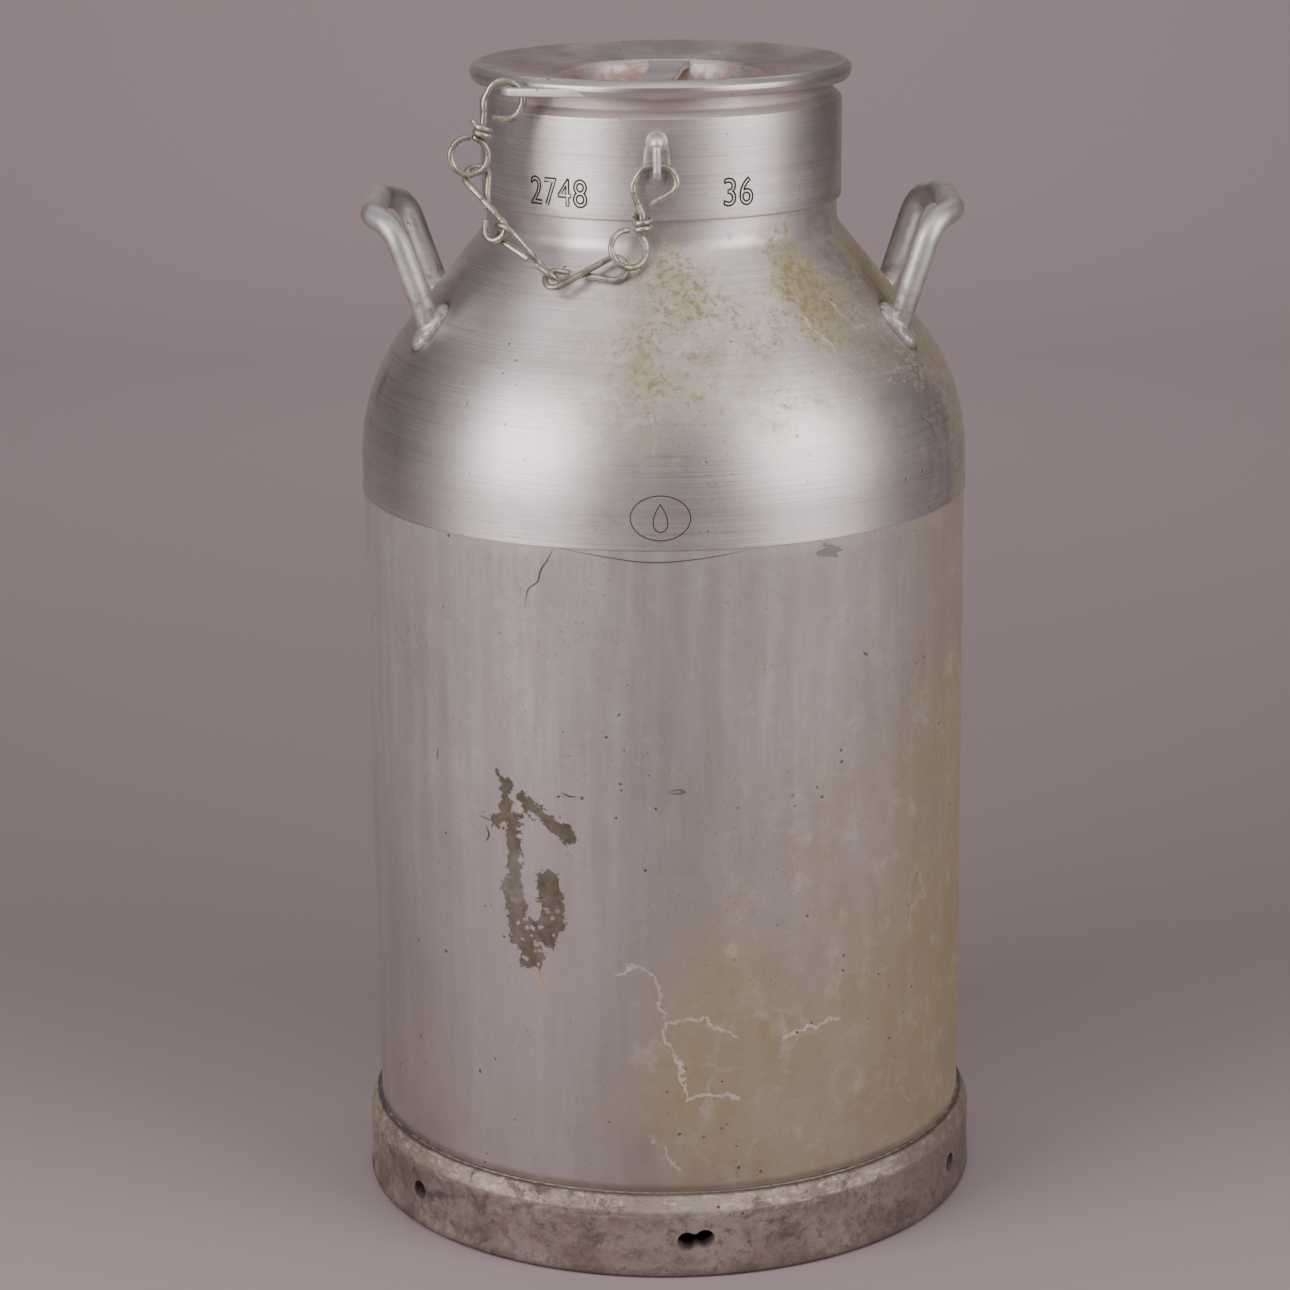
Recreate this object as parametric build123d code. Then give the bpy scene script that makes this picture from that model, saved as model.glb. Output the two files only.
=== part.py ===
"""Fifty-litre aluminium milk can with a chained lid, in millimetres.

Origin: middle of the foot ring at floor level. +Z is up, -Y is the front, where the chain's
eye is, and the two carrying handles are on -X and +X.
"""
import os
from math import asin, atan2, cos, pi, radians, sin, sqrt, tan

from build123d import *

# ---- driving dimensions --------------------------------------------------------------------
BODY_R = 178.0            # outer radius of the barrel
WALL = 3.2                # sheet thickness of barrel and shoulder
SEAM_Z = 431.2            # barrel meets shoulder
SEAM_GAP = 1.6            # height of the ring of weld metal between them
SEAM_PROUD = 0.3          # the weld metal stands out by this
ARC_Z = 449.0             # the shoulder starts to curve in here
ARC_R = 119.1             # radius of that curve
CONE_DEG = 39.1           # slope of the shoulder's cone, from vertical
NECK_R = 101.7            # outer radius of the neck tube
NECK_FILLET = 12.8        # hollow curve between cone and neck tube

COLLAR_Z = 599.7          # heavy neck collar starts here
COLLAR_R = 104.3
COLLAR_FLARE = 0.3        # it widens by this up to the bevel
COLLAR_STEP = 8.0         # its bore narrows from the neck tube's to the mouth's over this height
MOUTH_R = 95.0            # clear radius of the mouth
COLLAR_BEVEL_Z = 656.4
COLLAR_TOP_R = 99.8
COLLAR_TOP_Z = 670.0

FOOT_R = 185.2
FOOT_INNER_R = 171.5
FOOT_LEDGE_Z = 38.0       # the barrel stands on this ledge
FOOT_TOP_Z = 50.0
FOOT_BEVEL_Z = 41.0
FOOT_SOFTEN = 2.5         # its lower edges are broken by this
FOOT_BEAD = 2.4           # leg of the fillet weld between foot ring and barrel
DRAIN_Z = 23.0
DRAIN_R = 5.8
DRILL_LENGTH = 40.0
DRAIN_FIRST_DEG = -144.0
DRAIN_STEP_DEG = 60.0
DRAIN_COUNT = 6
SLOT_INDEX = 1            # the front drain is drilled twice
SLOT_SPREAD_DEG = 3.2     # this far apart
SLOT_OFF_DEG = -1.7       # and a little off its even place

FLOOR_SKIRT_TOP_Z = 62.0  # turned-up edge of the bottom plate
FLOOR_EDGE_Z = 44.0
FLOOR_CROWN = 7.0         # the bottom plate bulges up by this

BAR_R = 7.0               # carrying handle bar
LEG_Y = 56.0
LEG_FOOT_Z = 520.0
LEG_TOP_Z = 590.0
LEG_REF_Z = 560.0
GRIP_Z = 595.0
GRIP_Y = 38.0
GRIP_OUT = 13.5           # the grip stands outside the tops of the legs
GRIP_BEND = 17.0
HANDLES = {"left": (-142.2, -0.344), "right": (143.3, 0.321)}   # leg x at LEG_REF_Z, lean
PAD_LENGTH = 33.0
PAD_WIDTH = 20.0
PAD_THICK = 3.6

LID_RIM_R = 110.1
LID_RIM_LOW_Z = 667.6
LID_RIM_TOP_Z = 677.8
LID_RIM_BEAD_R = 103.0    # the rim bead starts here
LID_LAND_Z = 672.4        # flat face that sits on the gasket
LID_SHEET = 2.8
BOWL_EDGE_R = 59.5
BOWL_EDGE_Z = 670.5
BOWL_FLOOR_R = 40.0
BOWL_FLOOR_Z = 638.0
PLUG_R = 93.2
PLUG_WALL = 3.0
PLUG_BOTTOM_Z = 634.0
GASKET_INNER_R = 94.4
GASKET_GAP = 0.3          # the gasket hangs this far clear of the collar
STRAP_WIDTH = 19.5
STRAP_THICK = 4.0
STRAP_TOP_Z = 670.2
STRAP_TURN_DEG = -5.5

LUG_Z = (668.1, 672.9)
LUG_EYE = (-79.5, -83.7)
LUG_EYE_R = 4.9
LUG_TIP_R = 9.4
LUG_ROOT = [(-34.0, -104.4), (-66.0, -84.0), (-84.0, -66.0)]

EYE_X = -3.0
EYE_BAR_R = 2.4
EYE_BAR_Y = -112.8
EYE_Z = (624.9, 643.2)    # lower and upper leg of the eye
EYE_BEND = 4.0
EYE_BOSS_R = 6.2
EYE_BOSS_OUT = 4.4        # middle of the boss beyond the collar
EYE_PLATE_THICK = 0.9
EYE_PLATE_SIZE = (16.6, 34.0)

WIRE_R = 1.8              # chain links and swivel rings
HOOK_R = 1.95             # pear hooks
COIL_WIRE_R = 1.75
COIL_R = 3.95             # middle radius of a coil's turns round a hook's shank
COIL_STEP = 1.68          # each of the two turns lies this far from the coil's middle
COIL_FREE_END = (-2.6, -0.8, 2.4)   # the wire's end stands off the coil this way
COLLET_R = 2.5            # swage on the shank, caught between the two turns
COLLET_THICK = 0.7
RING_R = 10.5
LINK_HALF = 22.6          # middle of a link to the middle of its end wire
LINK_LOOP_R = 6.2
LINK_CROSS = 1.9          # the two crossing strands lie this far off the link's plane

# middle, direction and face normal of each link at rest
LINKS = {
    "link_3": ((-43.12, -111.37, 572.34), (0.9838, -0.0377, 0.1750), (-0.1422, -0.7588, 0.6357)),
    "link_2": ((-75.72, -103.28, 582.27), (-0.7403, 0.1975, 0.6426), (0.6576, 0.4117, 0.6309)),
    "link_1": ((-98.37, -88.48, 608.86), (-0.3103, 0.4838, 0.8184), (-0.2714, -0.8701, 0.4114)),
}
NECK_HOOK_AT = (-3.2, -108.92, 618.64)
NECK_HOOK_TILT = 5.0      # it leans out at the bottom, over the cone
NECK_HOOK_ROUTE = [
    (-4.0, -9.0), (12.6, 0.2), (8.4, 12.2), (-7.4, 12.6), (-14.0, 1.4), (-8.0, -14.6), (-8.0, -21.5),
]
NECK_HOOK_BENDS = [6.5, 9.0, 8.5, 8.0, 12.0]
NECK_COIL_AT = (-8.0, -19.6)
NECK_RING_AT = (-18.96, -112.70, 586.14)
NECK_RING_NORMAL = (0.3563, -0.8730, 0.3329)
LID_HOOK_AT = (-86.9, -83.7, 665.0)
LID_HOOK_ROUTE = [
    (-7.2, -9.6), (5.6, -10.6), (11.2, 1.0), (5.4, 10.8), (-6.0, 10.8), (-11.4, 0.6), (-11.6, -8.5),
    (-13.2, -19.28),
]
LID_HOOK_BENDS = [8.0, 8.5, 8.5, 8.0, 8.5, 6.0]
LID_COIL_AT = (-12.92, -17.4)
LID_RING_AT = (-107.35, -83.99, 634.40)
LID_RING_NORMAL = (0.026, -0.9997, 0.0)

parts = {}


# ---- helpers -------------------------------------------------------------------------------
def turned(*points):
    """Solid of revolution about Z from an outline of (radius, height) points."""
    return revolve(Plane.XZ * make_face(Polyline(*points, close=True)), Axis.Z)


def rod(points, bends, radius):
    """Round bar bent along a route, with one bend radius per inner corner."""
    path = FilletPolyline(*points, radius=bends)
    section = Plane(origin=path @ 0, z_dir=path % 0) * Circle(radius)
    return sweep(section, path)


def straight(start, end, radius):
    """Round bar from one point to another."""
    run = Vector(*end) - Vector(*start)
    standing = (Align.CENTER, Align.CENTER, Align.MIN)
    return Plane(origin=start, z_dir=run) * Cylinder(radius, run.length, align=standing)


def torus_at(centre, normal, big, small):
    return Plane(origin=centre, z_dir=normal) * Torus(big, small)


def shoulder_outline(offset, low_z, high_z):
    """Edges of the shoulder's profile, moved inwards by offset, from low_z up to high_z."""
    slope = radians(CONE_DEG)
    centre_r = BODY_R - ARC_R
    big = ARC_R - offset
    small = NECK_FILLET + offset
    arc_end = (centre_r + big * cos(slope), ARC_Z + big * sin(slope))
    neck_r = NECK_R - offset
    fillet_r = NECK_R + NECK_FILLET
    cone_end_r = fillet_r - small * cos(slope)
    cone_end = (cone_end_r, arc_end[1] + (arc_end[0] - cone_end_r) / tan(slope))
    neck_z = cone_end[1] + small * sin(slope)
    half = slope / 2
    arc_mid = (centre_r + big * cos(half), ARC_Z + big * sin(half))
    fillet_mid = (fillet_r - small * cos(half), neck_z - small * sin(half))
    return [
        Line((BODY_R - offset, low_z), (BODY_R - offset, ARC_Z)),
        ThreePointArc((BODY_R - offset, ARC_Z), arc_mid, arc_end),
        Line(arc_end, cone_end),
        ThreePointArc(cone_end, fillet_mid, (neck_r, neck_z)),
        Line((neck_r, neck_z), (neck_r, high_z)),
    ]


def shoulder_solid(offset, low_z, high_z):
    """Solid shoulder, filled to the axis, whose outside is moved inwards by offset."""
    edges = shoulder_outline(offset, low_z, high_z)
    edges += [
        Line((NECK_R - offset, high_z), (0, high_z)),
        Line((0, high_z), (0, low_z)),
        Line((0, low_z), (BODY_R - offset, low_z)),
    ]
    return revolve(Plane.XZ * make_face(edges), Axis.Z)


# ---- vessel --------------------------------------------------------------------------------
def make_vessel():
    inner = BODY_R - WALL
    top = SEAM_Z - SEAM_GAP / 2
    parts["barrel"] = turned((inner, FOOT_LEDGE_Z), (BODY_R, FOOT_LEDGE_Z), (BODY_R, top), (inner, top))
    low = SEAM_Z + SEAM_GAP / 2
    proud = BODY_R + SEAM_PROUD
    parts["seam_weld"] = turned((inner, top), (proud, top), (proud, low), (inner, low))
    hollow = shoulder_solid(WALL, low - 1, COLLAR_Z + 1)
    parts["shoulder"] = shoulder_solid(0, low, COLLAR_Z) - hollow
    bore = NECK_R - WALL
    parts["neck_collar"] = turned(
        (bore, COLLAR_Z), (COLLAR_R - 0.8, COLLAR_Z), (COLLAR_R, COLLAR_Z + 1.2),
        (COLLAR_R + COLLAR_FLARE, COLLAR_BEVEL_Z), (COLLAR_R - 1.8, COLLAR_BEVEL_Z + 3.0),
        (COLLAR_TOP_R, COLLAR_BEVEL_Z + 4.8), (COLLAR_TOP_R, COLLAR_TOP_Z),
        (MOUTH_R, COLLAR_TOP_Z), (MOUTH_R, COLLAR_Z + COLLAR_STEP),
    )


def make_bottom():
    """Dished bottom plate with a turned-up edge inside the barrel."""
    rim = BODY_R - WALL
    edge = rim - WALL
    dome_r = (edge ** 2 + FLOOR_CROWN ** 2) / (2 * FLOOR_CROWN)
    half = asin(edge / dome_r) / 2
    mid_r = dome_r * sin(half)
    mid_rise = FLOOR_CROWN - dome_r * (1 - cos(half))
    low, top = FLOOR_EDGE_Z, FLOOR_EDGE_Z + WALL
    outline = [
        Line((0, low + FLOOR_CROWN), (0, top + FLOOR_CROWN)),
        ThreePointArc((0, top + FLOOR_CROWN), (mid_r, top + mid_rise), (edge, top)),
        Line((edge, top), (edge, FLOOR_SKIRT_TOP_Z)),
        Line((edge, FLOOR_SKIRT_TOP_Z), (rim, FLOOR_SKIRT_TOP_Z)),
        Line((rim, FLOOR_SKIRT_TOP_Z), (rim, low)),
        Line((rim, low), (edge, low)),
        ThreePointArc((edge, low), (mid_r, low + mid_rise), (0, low + FLOOR_CROWN)),
    ]
    parts["bottom"] = revolve(Plane.XZ * make_face(outline), Axis.Z)


def drain_bore(angle, height):
    middle = Pos((FOOT_R + FOOT_INNER_R) / 2, 0, height)
    return Rot(0, 0, angle) * middle * Rot(0, 90, 0) * Cylinder(DRAIN_R, DRILL_LENGTH)


def make_foot():
    soft = FOOT_SOFTEN
    ring = turned(
        (FOOT_INNER_R, soft), (FOOT_INNER_R + soft, 0), (FOOT_R - soft, 0),
        (FOOT_R - 0.3 * soft, 0.3 * soft), (FOOT_R, soft),
        (FOOT_R, FOOT_BEVEL_Z - 1.5), (FOOT_R - 0.6, FOOT_BEVEL_Z),
        (BODY_R + FOOT_BEAD, FOOT_TOP_Z), (BODY_R, FOOT_TOP_Z), (BODY_R, FOOT_LEDGE_Z),
        (FOOT_INNER_R, FOOT_LEDGE_Z),
    )
    for index in range(DRAIN_COUNT):
        angle = DRAIN_FIRST_DEG + DRAIN_STEP_DEG * index
        if index == SLOT_INDEX:
            middle = angle + SLOT_OFF_DEG
            ring -= drain_bore(middle - SLOT_SPREAD_DEG / 2, DRAIN_Z - 0.4)
            ring -= drain_bore(middle + SLOT_SPREAD_DEG / 2, DRAIN_Z + 0.8)
        else:
            ring -= drain_bore(angle, DRAIN_Z)
    parts["foot_ring"] = ring
    bulge = FOOT_BEAD * 0.72
    parts["foot_weld"] = turned(
        (BODY_R, FOOT_TOP_Z), (BODY_R + FOOT_BEAD, FOOT_TOP_Z), (BODY_R + bulge, FOOT_TOP_Z + bulge),
        (BODY_R, FOOT_TOP_Z + FOOT_BEAD),
    )


# ---- carrying handles ----------------------------------------------------------------------
def shoulder_radius(height):
    """Outer radius of the shoulder between the start of its curve and the end of its cone."""
    slope = radians(CONE_DEG)
    arc_end_z = ARC_Z + ARC_R * sin(slope)
    if height <= arc_end_z:
        return BODY_R - ARC_R + sqrt(ARC_R ** 2 - (height - ARC_Z) ** 2)
    return BODY_R - ARC_R + ARC_R * cos(slope) - (height - arc_end_z) * tan(slope)


def leg_x(side, height):
    at_ref, lean = HANDLES[side]
    return at_ref + lean * (height - LEG_REF_Z)


def leg_foot(side, y):
    """Point where the middle line of a leg meets the shoulder."""
    low, high = LEG_FOOT_Z, LEG_TOP_Z
    for _ in range(40):
        middle = (low + high) / 2
        inside = sqrt(leg_x(side, middle) ** 2 + y ** 2) < shoulder_radius(middle)
        low, high = (middle, high) if inside else (low, middle)
    return (leg_x(side, low), y, low)


def shoulder_slope(height):
    """How far the shoulder leans back from vertical at a height, in radians."""
    steepest = radians(CONE_DEG)
    if height > ARC_Z + ARC_R * sin(steepest):
        return steepest
    return asin((height - ARC_Z) / ARC_R)


def weld_pad(foot, skin):
    """Oval pad that follows the shoulder, with its long side up the slope."""
    x, y, z = foot
    around = atan2(y, x)
    slope = shoulder_slope(z)
    normal = (cos(slope) * cos(around), cos(slope) * sin(around), sin(slope))
    uphill = (-sin(slope) * cos(around), -sin(slope) * sin(around), cos(slope))
    outline = RectangleRounded(PAD_LENGTH, PAD_WIDTH, PAD_WIDTH * 0.49)
    through = extrude(outline, 4 * PAD_THICK, both=True)
    return (Plane(origin=foot, x_dir=uphill, z_dir=normal) * through) & skin


def make_handles():
    filled = shoulder_solid(0, ARC_Z - 10, COLLAR_Z)
    padded = shoulder_solid(-PAD_THICK, ARC_Z - 10, COLLAR_Z)
    skin = padded - filled
    for side in HANDLES:
        outward = -1 if side == "left" else 1
        top_x = leg_x(side, LEG_TOP_Z)
        grip_x = top_x + outward * GRIP_OUT
        foot_x = leg_x(side, LEG_FOOT_Z)
        half = [(foot_x, LEG_Y, LEG_FOOT_Z), (top_x, LEG_Y, LEG_TOP_Z), (grip_x, GRIP_Y, GRIP_Z)]
        route = half + [(x, -y, z) for x, y, z in reversed(half)]
        bar = rod(route, GRIP_BEND, BAR_R)
        parts["handle_" + side] = bar - padded
        for name, y in (("front", -LEG_Y), ("back", LEG_Y)):
            parts["weld_pad_" + side + "_" + name] = weld_pad(leg_foot(side, y), skin)


# ---- lid -----------------------------------------------------------------------------------
def lid_rim():
    """Rolled bead round the lid's edge, from the gasket land round to the top of the flange."""
    low, top = LID_RIM_LOW_Z, LID_RIM_TOP_Z
    middle = (low + top) / 2
    bottom_start = (LID_RIM_R - 3.6, low)
    side_start = (LID_RIM_R, middle - 1.2)
    side_end = (LID_RIM_R, middle + 1.2)
    top_end = (LID_RIM_R - 4.4, top)
    return [
        Line((LID_RIM_BEAD_R, LID_LAND_Z), (LID_RIM_BEAD_R, low)),
        Line((LID_RIM_BEAD_R, low), bottom_start),
        ThreePointArc(bottom_start, (LID_RIM_R - 0.9, low + 1.2), side_start),
        Line(side_start, side_end),
        ThreePointArc(side_end, (LID_RIM_R - 1.1, top - 1.2), top_end),
        Line(top_end, (LID_RIM_R - 8.0, top - 0.4)),
    ]


def lid_top():
    """Sloping flange and the bowl, from the rim in to the middle of the bowl's floor."""
    flange_end = (BOWL_EDGE_R + 3, BOWL_EDGE_Z + 0.4)
    wall_start = (BOWL_EDGE_R - 0.6, BOWL_EDGE_Z - 2.6)
    wall_end = (BOWL_FLOOR_R + 6, BOWL_FLOOR_Z + 8)
    floor_start = (BOWL_FLOOR_R - 6, BOWL_FLOOR_Z)
    return [
        Line((LID_RIM_R - 8.0, LID_RIM_TOP_Z - 0.4), flange_end),
        ThreePointArc(flange_end, (BOWL_EDGE_R + 0.8, BOWL_EDGE_Z - 0.4), wall_start),
        Line(wall_start, wall_end),
        ThreePointArc(wall_end, (BOWL_FLOOR_R + 1, BOWL_FLOOR_Z + 2), floor_start),
        Line(floor_start, (0, BOWL_FLOOR_Z)),
    ]


def lid_underside():
    """Back of the sheet from the middle of the bowl out to the gasket land."""
    corners = [
        (0, BOWL_FLOOR_Z), (0, BOWL_FLOOR_Z - LID_SHEET), (BOWL_FLOOR_R - 4, BOWL_FLOOR_Z - LID_SHEET),
        (BOWL_FLOOR_R + 9, BOWL_FLOOR_Z + 7), (BOWL_EDGE_R + 2.5, BOWL_EDGE_Z - 5),
        (BOWL_EDGE_R + 6, BOWL_EDGE_Z - LID_SHEET), (PLUG_R - PLUG_WALL - 1, LID_LAND_Z),
        (LID_RIM_BEAD_R, LID_LAND_Z),
    ]
    return [Line(here, there) for here, there in zip(corners, corners[1:])]


def make_lid():
    cap = revolve(Plane.XZ * make_face(lid_rim() + lid_top() + lid_underside()), Axis.Z)
    parts["lid_cap"] = cap

    hole_r = BOWL_FLOOR_R - 2
    inner_r = PLUG_R - PLUG_WALL
    base = PLUG_BOTTOM_Z
    parts["lid_plug"] = turned(
        (inner_r, LID_LAND_Z), (PLUG_R, LID_LAND_Z), (PLUG_R, base + 5), (PLUG_R - 2, base),
        (hole_r, base - 0.6), (hole_r, base + 1.2), (inner_r - 2, base + 2.6), (inner_r, base + 6),
    )
    low = COLLAR_TOP_Z + GASKET_GAP
    parts["lid_gasket"] = turned(
        (GASKET_INNER_R, low), (COLLAR_TOP_R - 0.3, low), (COLLAR_TOP_R, (low + LID_LAND_Z) / 2),
        (COLLAR_TOP_R - 0.3, LID_LAND_Z), (GASKET_INNER_R, LID_LAND_Z),
    )

    reach = BOWL_EDGE_R + 4
    level = Pos(0, 0, STRAP_TOP_Z - STRAP_THICK / 2)
    bar = Rot(0, 0, STRAP_TURN_DEG) * level * Box(STRAP_WIDTH, 2 * reach, STRAP_THICK)
    pieces = ((bar & level * Cylinder(reach, STRAP_THICK)) - cap).solids()
    parts["lid_strap"] = max(pieces, key=lambda piece: piece.volume)


def make_lug():
    """Flat tab that leaves the rim at a tangent and ends in an eye for the chain's hook."""
    low, high = LUG_Z
    ex, ey = LUG_EYE
    root_x, root_y = LUG_ROOT[0]
    away = atan2(ey - root_y, ex - root_x) + pi / 2
    front = (ex + LUG_TIP_R * cos(away), ey + LUG_TIP_R * sin(away))
    back = (ex - LUG_TIP_R * cos(pi / 3), ey + LUG_TIP_R * sin(pi / 3))
    blade = make_face(Polyline(LUG_ROOT[0], front, back, LUG_ROOT[2], LUG_ROOT[1], close=True))
    plan = blade + Pos(ex, ey) * Circle(LUG_TIP_R)
    tab = Pos(0, 0, low) * extrude(plan, high - low)
    tab -= parts["lid_cap"]
    tab -= Pos(ex, ey, low) * Cylinder(LUG_EYE_R, 4 * (high - low))
    parts["lid_lug"] = tab


# ---- chain ---------------------------------------------------------------------------------
def make_eye():
    """Forged eye on the front of the neck collar, with its welded plate."""
    low, high = EYE_Z
    buried = 3 - COLLAR_R
    route = [(EYE_X, buried, high), (EYE_X, EYE_BAR_Y, high), (EYE_X, EYE_BAR_Y, low), (EYE_X, buried, low)]
    boss = Pos(EYE_X, -COLLAR_R - EYE_BOSS_OUT, high + 1) * Sphere(EYE_BOSS_R)
    skin_r = COLLAR_R + COLLAR_FLARE
    level = Pos(0, 0, (COLLAR_Z + COLLAR_TOP_Z) / 2)
    height = COLLAR_TOP_Z - COLLAR_Z
    collar = level * Cylinder(skin_r + EYE_PLATE_THICK, height)
    parts["neck_eye"] = rod(route, EYE_BEND, EYE_BAR_R) + boss - collar
    wide, tall = EYE_PLATE_SIZE
    facing = Plane(origin=(EYE_X, -MOUTH_R, (low + high) / 2 - 0.6), x_dir=(1, 0, 0), z_dir=(0, -1, 0))
    plate = facing * extrude(Ellipse(wide / 2, tall / 2), COLLAR_R - MOUTH_R + 10)
    parts["neck_eye_plate"] = plate & (collar - level * Cylinder(skin_r, height))


def hook(centre, x_dir, normal, route, bends, coil_at):
    """Pear hook with a straight shank, and a swage where the shank turns in its coil."""
    place = Plane(origin=centre, x_dir=x_dir, z_dir=normal)
    points = [place.from_local_coords(Vector(u, v, 0)) for u, v in route]
    shank = (points[-1] - points[-2]).normalized()
    coil = place.from_local_coords(Vector(coil_at[0], coil_at[1], 0))
    swage = Plane(origin=coil, z_dir=shank) * Cylinder(COLLET_R, COLLET_THICK)
    return rod(points, bends, HOOK_R) + swage, coil, shank


def nearest_on_circle(centre, normal, radius, point):
    flat = point - centre
    flat = flat - normal * flat.dot(normal)
    return centre + flat.normalized() * radius


def circle_points(centre, normal, radius):
    place = Plane(origin=centre, z_dir=normal)
    turns = [2 * pi * step / 90 for step in range(90)]
    return [place.from_local_coords(Vector(radius * cos(turn), radius * sin(turn), 0)) for turn in turns]


def swivel_ring(centre, normal, coil, shank):
    """Ring whose wire ends are wound twice round the hook's shank, with a short free end."""
    centre, normal = Vector(*centre), Vector(*normal).normalized()
    upper = coil - shank * COIL_STEP
    lower = coil + shank * COIL_STEP
    on_ring = min(
        circle_points(centre, normal, RING_R),
        key=lambda point: (nearest_on_circle(lower, shank, COIL_R, point) - point).length)
    on_coil = nearest_on_circle(lower, shank, COIL_R, on_ring)
    free_end = Vector(*COIL_FREE_END)
    start = nearest_on_circle(upper, shank, COIL_R, upper + Vector(free_end.X, free_end.Y, 0))
    end = start + free_end
    ring = torus_at(centre, normal, RING_R, WIRE_R)
    ring += torus_at(upper, shank, COIL_R, COIL_WIRE_R)
    ring += torus_at(lower, shank, COIL_R, COIL_WIRE_R)
    ring += straight(tuple(on_ring), tuple(on_coil), COIL_WIRE_R)
    ring += straight(tuple(start), tuple(end), COIL_WIRE_R - 0.05)
    return ring


def link(middle, direction, normal):
    """Figure-of-eight link of bent wire: two loops, crossing strands, one end just short."""
    reach = LINK_HALF - LINK_LOOP_R
    side = LINK_HALF * tan(asin(LINK_LOOP_R / reach))
    right_up = Vector(LINK_HALF, side, LINK_CROSS)
    right_down = Vector(LINK_HALF, -side, -LINK_CROSS)
    left_up = Vector(-LINK_HALF, side, -LINK_CROSS)
    left_down = Vector(-LINK_HALF, -side, LINK_CROSS)
    start = left_up + (right_down - left_up) * 0.30
    end = right_down + (left_up - right_down) * 0.56
    place = Plane(origin=middle, x_dir=direction, z_dir=normal)
    points = [place.from_local_coords(p) for p in (start, left_up, left_down, right_up, right_down, end)]
    return rod(points, LINK_LOOP_R - 0.15, WIRE_R)


def make_chain():
    tilt = radians(NECK_HOOK_TILT)
    facing = (0, -cos(tilt), sin(tilt))
    body, coil, shank = hook(NECK_HOOK_AT, (1, 0, 0), facing, NECK_HOOK_ROUTE, NECK_HOOK_BENDS, NECK_COIL_AT)
    parts["neck_hook"] = body
    parts["neck_swivel_ring"] = swivel_ring(NECK_RING_AT, NECK_RING_NORMAL, coil, shank)
    body, coil, shank = hook(LID_HOOK_AT, (1, 0, 0), (0, -1, 0), LID_HOOK_ROUTE, LID_HOOK_BENDS, LID_COIL_AT)
    parts["lid_hook"] = body
    parts["lid_swivel_ring"] = swivel_ring(LID_RING_AT, LID_RING_NORMAL, coil, shank)
    for name, (middle, direction, normal) in LINKS.items():
        parts[name] = link(middle, direction, normal)


# ---- build and write -----------------------------------------------------------------------
make_vessel()
make_bottom()
make_foot()
make_handles()
make_lid()
make_lug()
make_eye()
make_chain()

os.makedirs("parts", exist_ok=True)
for name, shape in parts.items():
    export_step(shape, "parts/" + name + ".step")
print(len(parts), "nodes written")
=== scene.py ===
"""Looks of the aluminium milk can: worn turned metal, welds, a bent-wire chain and old stains.

Everything is in metres in the can's own frame: +Z up, -Y the front. A place on the can's side is
given by its turn from the front, positive towards +X, and its height.
"""
from math import asin, atan2, ceil, cos, degrees, exp, hypot, pi, radians, sin, sqrt, tan

import bmesh
import bpy
from mathutils import Matrix, Vector, noise


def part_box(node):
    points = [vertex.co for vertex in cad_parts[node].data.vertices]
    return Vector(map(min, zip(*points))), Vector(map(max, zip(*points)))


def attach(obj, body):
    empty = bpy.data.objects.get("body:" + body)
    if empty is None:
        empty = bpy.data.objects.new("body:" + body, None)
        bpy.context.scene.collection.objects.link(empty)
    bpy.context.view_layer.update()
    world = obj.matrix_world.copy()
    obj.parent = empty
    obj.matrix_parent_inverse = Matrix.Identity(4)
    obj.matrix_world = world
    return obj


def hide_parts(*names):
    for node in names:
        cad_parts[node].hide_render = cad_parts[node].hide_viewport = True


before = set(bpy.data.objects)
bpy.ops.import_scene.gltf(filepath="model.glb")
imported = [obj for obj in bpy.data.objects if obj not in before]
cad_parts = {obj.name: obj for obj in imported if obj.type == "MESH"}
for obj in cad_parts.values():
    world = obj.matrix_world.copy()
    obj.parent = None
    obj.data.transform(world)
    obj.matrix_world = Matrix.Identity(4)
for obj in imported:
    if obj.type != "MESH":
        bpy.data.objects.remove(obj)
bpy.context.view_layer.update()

# ---- sizes, in metres ----
MM = 0.001
BODY_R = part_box("barrel")[1].x
WALL = 3.2 * MM
BARREL_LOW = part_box("barrel")[0].z
SEAM_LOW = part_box("seam_weld")[0].z
SEAM_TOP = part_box("seam_weld")[1].z
ARC_Z = 449 * MM              # the shoulder starts to curve in here
ARC_R = 119.1 * MM
SLOPE = radians(39.1)         # the shoulder's cone, from vertical
NECK_R = 101.7 * MM
NECK_FILLET = 12.8 * MM
COLLAR_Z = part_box("neck_collar")[0].z
COLLAR_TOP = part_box("neck_collar")[1].z
COLLAR_R = 104.3 * MM
COLLAR_FLARE = 0.3 * MM       # it widens by this up to the bevel
COLLAR_BEVEL_Z = 656.4 * MM
MOUTH_R = 95 * MM
FOOT_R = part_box("foot_ring")[1].x
FOOT_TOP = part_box("foot_ring")[1].z
FOOT_INNER_R = 171.5 * MM
LID_R = 110.1 * MM
RIM_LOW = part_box("lid_cap")[1].z - 10.2 * MM
STRAP_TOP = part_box("lid_strap")[1].z
BAR_R = 7 * MM
WIRE_R = 1.8 * MM
HOOK_R = 1.95 * MM
CREASE = radians(38)          # edges sharper than this are shaded as edges


# ---- mesh helpers ----
def put(name, data):
    """A new object in the scene."""
    piece = bpy.data.objects.new(name, data)
    bpy.context.scene.collection.objects.link(piece)
    return piece


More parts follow.
